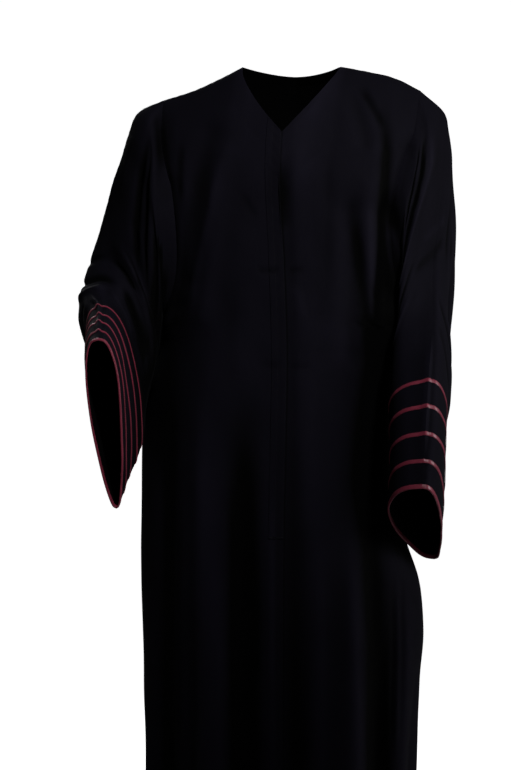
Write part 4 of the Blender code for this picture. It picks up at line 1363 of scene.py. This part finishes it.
def binding_section(cloth, thick):
    """Section of a binding: distances up from the sleeve's edge and out from its face."""
    inside = cloth + SEAM_GAP
    middle = (SEAM_GAP - inside) / 2
    reach = (inside + SEAM_GAP) / 2 + thick
    outer = ((TAPE_WIDTH, TRIM_EDGE), (TAPE_WIDTH - BINDING_ROUND, 1.0),
             (TAPE_WIDTH * 0.6, 1.05), (BINDING_FOLD, 1.0))
    section = [(up, SEAM_GAP + share * thick) for up, share in outer]
    for degrees in (30, 60, 90, 120, 150):
        turn = math.radians(degrees)
        section.append((-math.sin(turn) * reach * 0.8, middle + math.cos(turn) * reach))
    section += [(up, -inside - share * thick) for up, share in outer[::-1]]
    lining = (TAPE_WIDTH - BINDING_ROUND / 2, TAPE_WIDTH * 0.5, BINDING_FOLD)
    section += [(up, -inside) for up in lining]
    section += [(-SEAM_GAP, out) for out in (-inside * 0.7, middle, 0.0)]
    section += [(up, SEAM_GAP) for up in lining[::-1]]
    return section


def binding(grid):
    """A binding folded round the edge of half a sleeve, rounded at the fold."""
    edge, normals = grid.points[-1], grid.normals[-1]
    above = grid.points[row_at(grid, grid.places[-1] - TAPE_WIDTH)] - edge
    above /= np.linalg.norm(above, axis=1, keepdims=True)
    sizes = bpy.context.scene.robe_sizes
    rings = [edge + above * up + normals * out
             for up, out in binding_section(sizes.cloth, sizes.trim)[::-1]]
    label = grid.name.replace("sleeve", "binding")
    return in_place(tube_section(label + "_satin", rings, grid.turned, wine_satin()),
                    "wine_satin", label)


def sewing_on_trims():
    """Rows of wine thread along both edges of the tapes and the top of the bindings."""
    trim = bpy.context.scene.robe_sizes.trim
    runs = []
    for name in SLEEVE_HALVES:
        grid = form()[name]
        for number in range(TAPES):
            points, normals = finer_rows(grid, *tape_rows(grid, number), TRIM_STEPS)
            for row in TRIM_THREADS:
                runs.append((points[row] + normals[row] * (SEAM_GAP + trim * TRIM_SEAT),
                             normals[row]))
        start = row_at(grid, grid.places[-1] - TAPE_WIDTH)
        points, normals = finer_rows(grid, start, len(grid.places) - 1, TRIM_STEPS)
        row = TRIM_THREADS[0]
        runs.append((points[row] + normals[row] * (SEAM_GAP + trim), normals[row]))
    return runs


def column_run(points, normals, share):
    """A run down a strip at a share of its width."""
    at = np.array((share * (points.shape[1] - 1),))
    return [read_rows(rows.transpose(1, 0, 2), at)[0] for rows in (points, normals)]


def sewing_on_front():
    """Black topstitching down the placket strip."""
    points, normals = strip_surface(form()["front_right"])
    return [column_run(points, normals, share) for share in PLACKET_ROWS]


def cut_run(points, normals, heights):
    """The stretch of a run that goes down, between given heights."""
    return [read_run(-heights, -points[:, 2], rows) for rows in (points, normals)]


def bar_tack():
    """Close upright threads across the foot of the placket strip, and a thread's end below."""
    cloth = form()["front_right"]
    strip = strip_surface(cloth)
    heights = TACK_Z + TACK_RISE + np.array((TACK_HEIGHT, 0))
    runs = [cut_run(*column_run(*strip, share), heights)
            for share in np.linspace(0.03, 0.97, TACK_THREADS)]
    below = column_run(cloth.points[:, :STRIP_COLUMNS], cloth.normals[:, :STRIP_COLUMNS], 0.55)
    heights = TACK_Z - THREAD_END - np.array((0, TACK_HEIGHT))
    return runs + [cut_run(*below, heights)]


def sewing_on_hem():
    runs = []
    for name in ("front_right", "front_left", "back"):
        grid = form()[name]
        row = int(np.argmin(np.abs(grid.points[:, -1, 2] - (HEM_Z + HEM_FOLD))))
        runs.append((grid.points[row], grid.normals[row]))
    return runs


Cut = namedtuple("Cut", "width length area")


# Settings

class RobeSizes(bpy.types.PropertyGroup):
    cloth: bpy.props.FloatProperty(
        name="Cloth", description="Thickness of the crape", default=0.0008,
        min=0.0004, max=0.0014, unit="LENGTH")
    folded_edge: bpy.props.FloatProperty(
        name="Folded edge", description="Thickness where an edge is turned in",
        default=0.0014, min=0.0006, max=0.0015, unit="LENGTH")
    trim: bpy.props.FloatProperty(
        name="Trim", description="Thickness of tapes, bindings and placket strip",
        default=0.0007, min=0.0003, max=0.0010, unit="LENGTH")
    stitch: bpy.props.FloatProperty(
        name="Stitch", description="Length of one stitch", default=0.0024,
        min=0.0015, max=0.0040, unit="LENGTH")
    thread: bpy.props.FloatProperty(
        name="Thread", description="Half the thickness of the sewing thread",
        default=0.00017, min=0.0001, max=0.0004, unit="LENGTH")


class RobeColours(bpy.types.PropertyGroup):
    crape: bpy.props.FloatVectorProperty(
        name="Crape", description="Colour of the cloth", subtype="COLOR", size=4,
        min=0, max=1, default=(0.0026, 0.0023, 0.0042, 1.0))
    wine: bpy.props.FloatVectorProperty(
        name="Wine", description="Colour of the tapes and bindings", subtype="COLOR", size=4,
        min=0, max=1, default=WINE)
    thread: bpy.props.FloatVectorProperty(
        name="Thread", description="Colour of the black sewing thread", subtype="COLOR",
        size=4, min=0, max=1, default=(0.0016, 0.0015, 0.0027, 1.0))
    floor: bpy.props.FloatVectorProperty(
        name="Floor", description="Colour of the floor and the backdrop", subtype="COLOR",
        size=4, min=0, max=1, default=(0.80, 0.80, 0.81, 1.0))


# Operators

class RobeStage(bpy.types.Operator):
    """Set up the camera, the lights, the floor and the backdrop"""
    bl_idname = "robe.stage"
    bl_label = "Camera, light and floor"

    def execute(self, context):
        scene = context.scene
        self.camera(scene)
        self.lights(scene)
        self.floor(scene)
        self.room(scene)
        scene.view_settings.view_transform = "Standard"
        scene.view_settings.look = "None"
        return {"FINISHED"}

    def camera(self, scene):
        turn = math.radians(VIEW_TURN)
        right = Vector((math.cos(turn), math.sin(turn), 0))
        forward = Vector((-math.sin(turn), math.cos(turn), 0))
        data = bpy.data.cameras.new("Camera")
        data.sensor_fit = "VERTICAL"
        data.sensor_height = 24
        data.lens = LENS
        data.shift_y = VIEW_SHIFT
        camera = bpy.data.objects.new("Camera", data)
        camera.location = -forward * VIEW_DISTANCE + right * VIEW_ASIDE
        camera.location.z = VIEW_HEIGHT
        camera.rotation_euler = (math.pi / 2, 0, turn)
        scene.collection.objects.link(camera)
        scene.camera = camera

    def lights(self, scene):
        for row in LIGHTS:
            data = bpy.data.lights.new(row.name, "AREA")
            data.shape = "RECTANGLE"
            data.size = row.width
            data.size_y = row.height
            data.energy = row.watts
            data.spread = math.radians(row.spread)
            lamp = bpy.data.objects.new(row.name, data)
            lamp.location = row.place
            aim = Vector(row.aim) - lamp.location
            lamp.rotation_euler = aim.to_track_quat("-Z", "Y").to_euler()
            scene.collection.objects.link(lamp)

    def floor(self, scene):
        """A floor that sweeps up into the backdrop."""
        level = HEM_Z - FLOOR_BELOW
        profile = [(-FLOOR_FRONT, level)]
        for degrees in range(0, 91, 6):
            angle = math.radians(degrees)
            profile.append((FLOOR_BACK - SWEEP + SWEEP * math.sin(angle),
                            level + SWEEP * (1 - math.cos(angle))))
        profile.append((FLOOR_BACK, level + BACKDROP))
        verts = [(x, y, z) for x in (-FLOOR_HALF, FLOOR_HALF) for y, z in profile]
        count = len(profile)
        faces = [(k, k + count, k + count + 1, k + 1) for k in range(count - 1)]
        backdrop = new_piece("Floor", verts, faces, pale_floor(scene.robe_colours.floor))

    def room(self, scene):
        """Even light from all round, which the camera itself sees as white."""
        world = bpy.data.worlds.new("Studio")
        world.use_nodes = True
        tree = world.node_tree
        seen = math_node(tree, "MULTIPLY", camera_rays(tree), 1.0 - AMBIENT)
        fill(tree.nodes["Background"], {"Color": (1.0, 1.0, 1.0, 1.0),
                                        "Strength": math_node(tree, "ADD", seen, AMBIENT)})
        scene.world = world


class RobePanels(bpy.types.Operator):
    """Make the back and the two fronts"""
    bl_idname = "robe.panels"
    bl_label = "Back and fronts"

    def execute(self, context):
        for name in ("back", "front_right", "front_left"):
            panel(name)
        return {"FINISHED"}


class RobePlacket(bpy.types.Operator):
    """Make the topstitched strip down the right front"""
    bl_idname = "robe.placket"
    bl_label = "Placket strip"

    def execute(self, context):
        grid = form()["front_right"]
        outer, normals = strip_surface(grid)
        inner = grid.points[:STRIP_ROWS, :STRIP_COLUMNS] + normals * SEAM_GAP * 0.5
        strip = shell("placket_strip", outer, inner, grid.turned, crape())
        # Both faces of the strip get the painted shading of the cloth under it.
        hollow = grid.hollow[:STRIP_ROWS, :STRIP_COLUMNS]
        keep_painted_shading(strip, np.stack((hollow, hollow)))
        in_place(strip, "crape", "placket")
        return {"FINISHED"}


class RobeSleeves(bpy.types.Operator):
    """Make the four sleeve halves"""
    bl_idname = "robe.sleeves"
    bl_label = "Sleeves"

    def execute(self, context):
        for name in SLEEVE_HALVES:
            panel(name)
        return {"FINISHED"}


class RobeTapes(bpy.types.Operator):
    """Make the four tapes round each sleeve"""
    bl_idname = "robe.tapes"
    bl_label = "Sleeve tapes"

    def execute(self, context):
        for name in SLEEVE_HALVES:
            for number in range(TAPES):
                tape(form()[name], number)
        return {"FINISHED"}


class RobeBindings(bpy.types.Operator):
    """Make the bindings of the sleeve edges"""
    bl_idname = "robe.bindings"
    bl_label = "Cuff bindings"

    def execute(self, context):
        for name in SLEEVE_HALVES:
            binding(form()[name])
        return {"FINISHED"}


class RobeSewing(bpy.types.Operator):
    """Make the topstitching, the bar tack and the rows along tapes and hem"""
    bl_idname = "robe.sewing"
    bl_label = "Sewing"

    def execute(self, context):
        sizes = context.scene.robe_sizes
        gap = sizes.stitch * STITCH_GAP
        black, wine = black_thread(), wine_thread()
        for name, runs, thread, slot in (
                ("front_topstitching", sewing_on_front(), black, "crape"),
                ("hem_stitching", sewing_on_hem(), black, "crape"),
                ("trim_stitching", sewing_on_trims(), wine, "wine_satin")):
            in_place(stitches(name, runs, sizes.stitch, gap, sizes.thread, thread), slot)
        in_place(stitches("bar_tack", bar_tack(), TACK_HEIGHT * 0.9, TACK_HEIGHT * 0.05,
                          sizes.thread * 1.2, black), "crape")
        return {"FINISHED"}


class RobeCuts(bpy.types.Operator):
    """An empty step: it notes no flat sizes of the sheets"""
    bl_idname = "robe.cuts"
    bl_label = "Cut sizes"

    def execute(self, context):
        return {"FINISHED"}


OPERATORS = (RobeStage, RobePanels, RobePlacket, RobeSleeves, RobeTapes, RobeBindings,
             RobeSewing, RobeCuts)


class RobePanel(bpy.types.Panel):
    """Lists the robe's pieces and its sizes and colours"""
    bl_idname = "VIEW3D_PT_robe"
    bl_label = "Robe"
    bl_space_type = "VIEW_3D"
    bl_region_type = "UI"
    bl_category = "Robe"

    def draw(self, context):
        layout = self.layout
        for operator in OPERATORS:
            layout.operator(operator.bl_idname)
        for settings in (context.scene.robe_sizes, context.scene.robe_colours):
            column = layout.column(align=True)
            for name in settings.__annotations__:
                column.prop(settings, name)


CLASSES = (RobeSizes, RobeColours, *OPERATORS, RobePanel)


def register():
    for item in CLASSES:
        bpy.utils.register_class(item)
    bpy.types.Scene.robe_sizes = bpy.props.PointerProperty(type=RobeSizes)
    bpy.types.Scene.robe_colours = bpy.props.PointerProperty(type=RobeColours)


def unregister():
    del bpy.types.Scene.robe_colours
    del bpy.types.Scene.robe_sizes
    for item in reversed(CLASSES):
        bpy.utils.unregister_class(item)


def main():
    register()
    bpy.ops.robe.stage()
    bpy.ops.robe.panels()
    bpy.ops.robe.placket()
    bpy.ops.robe.sleeves()
    bpy.ops.robe.tapes()
    bpy.ops.robe.bindings()
    bpy.ops.robe.sewing()
    bpy.ops.robe.cuts()


if __name__ == "__main__":
    main()
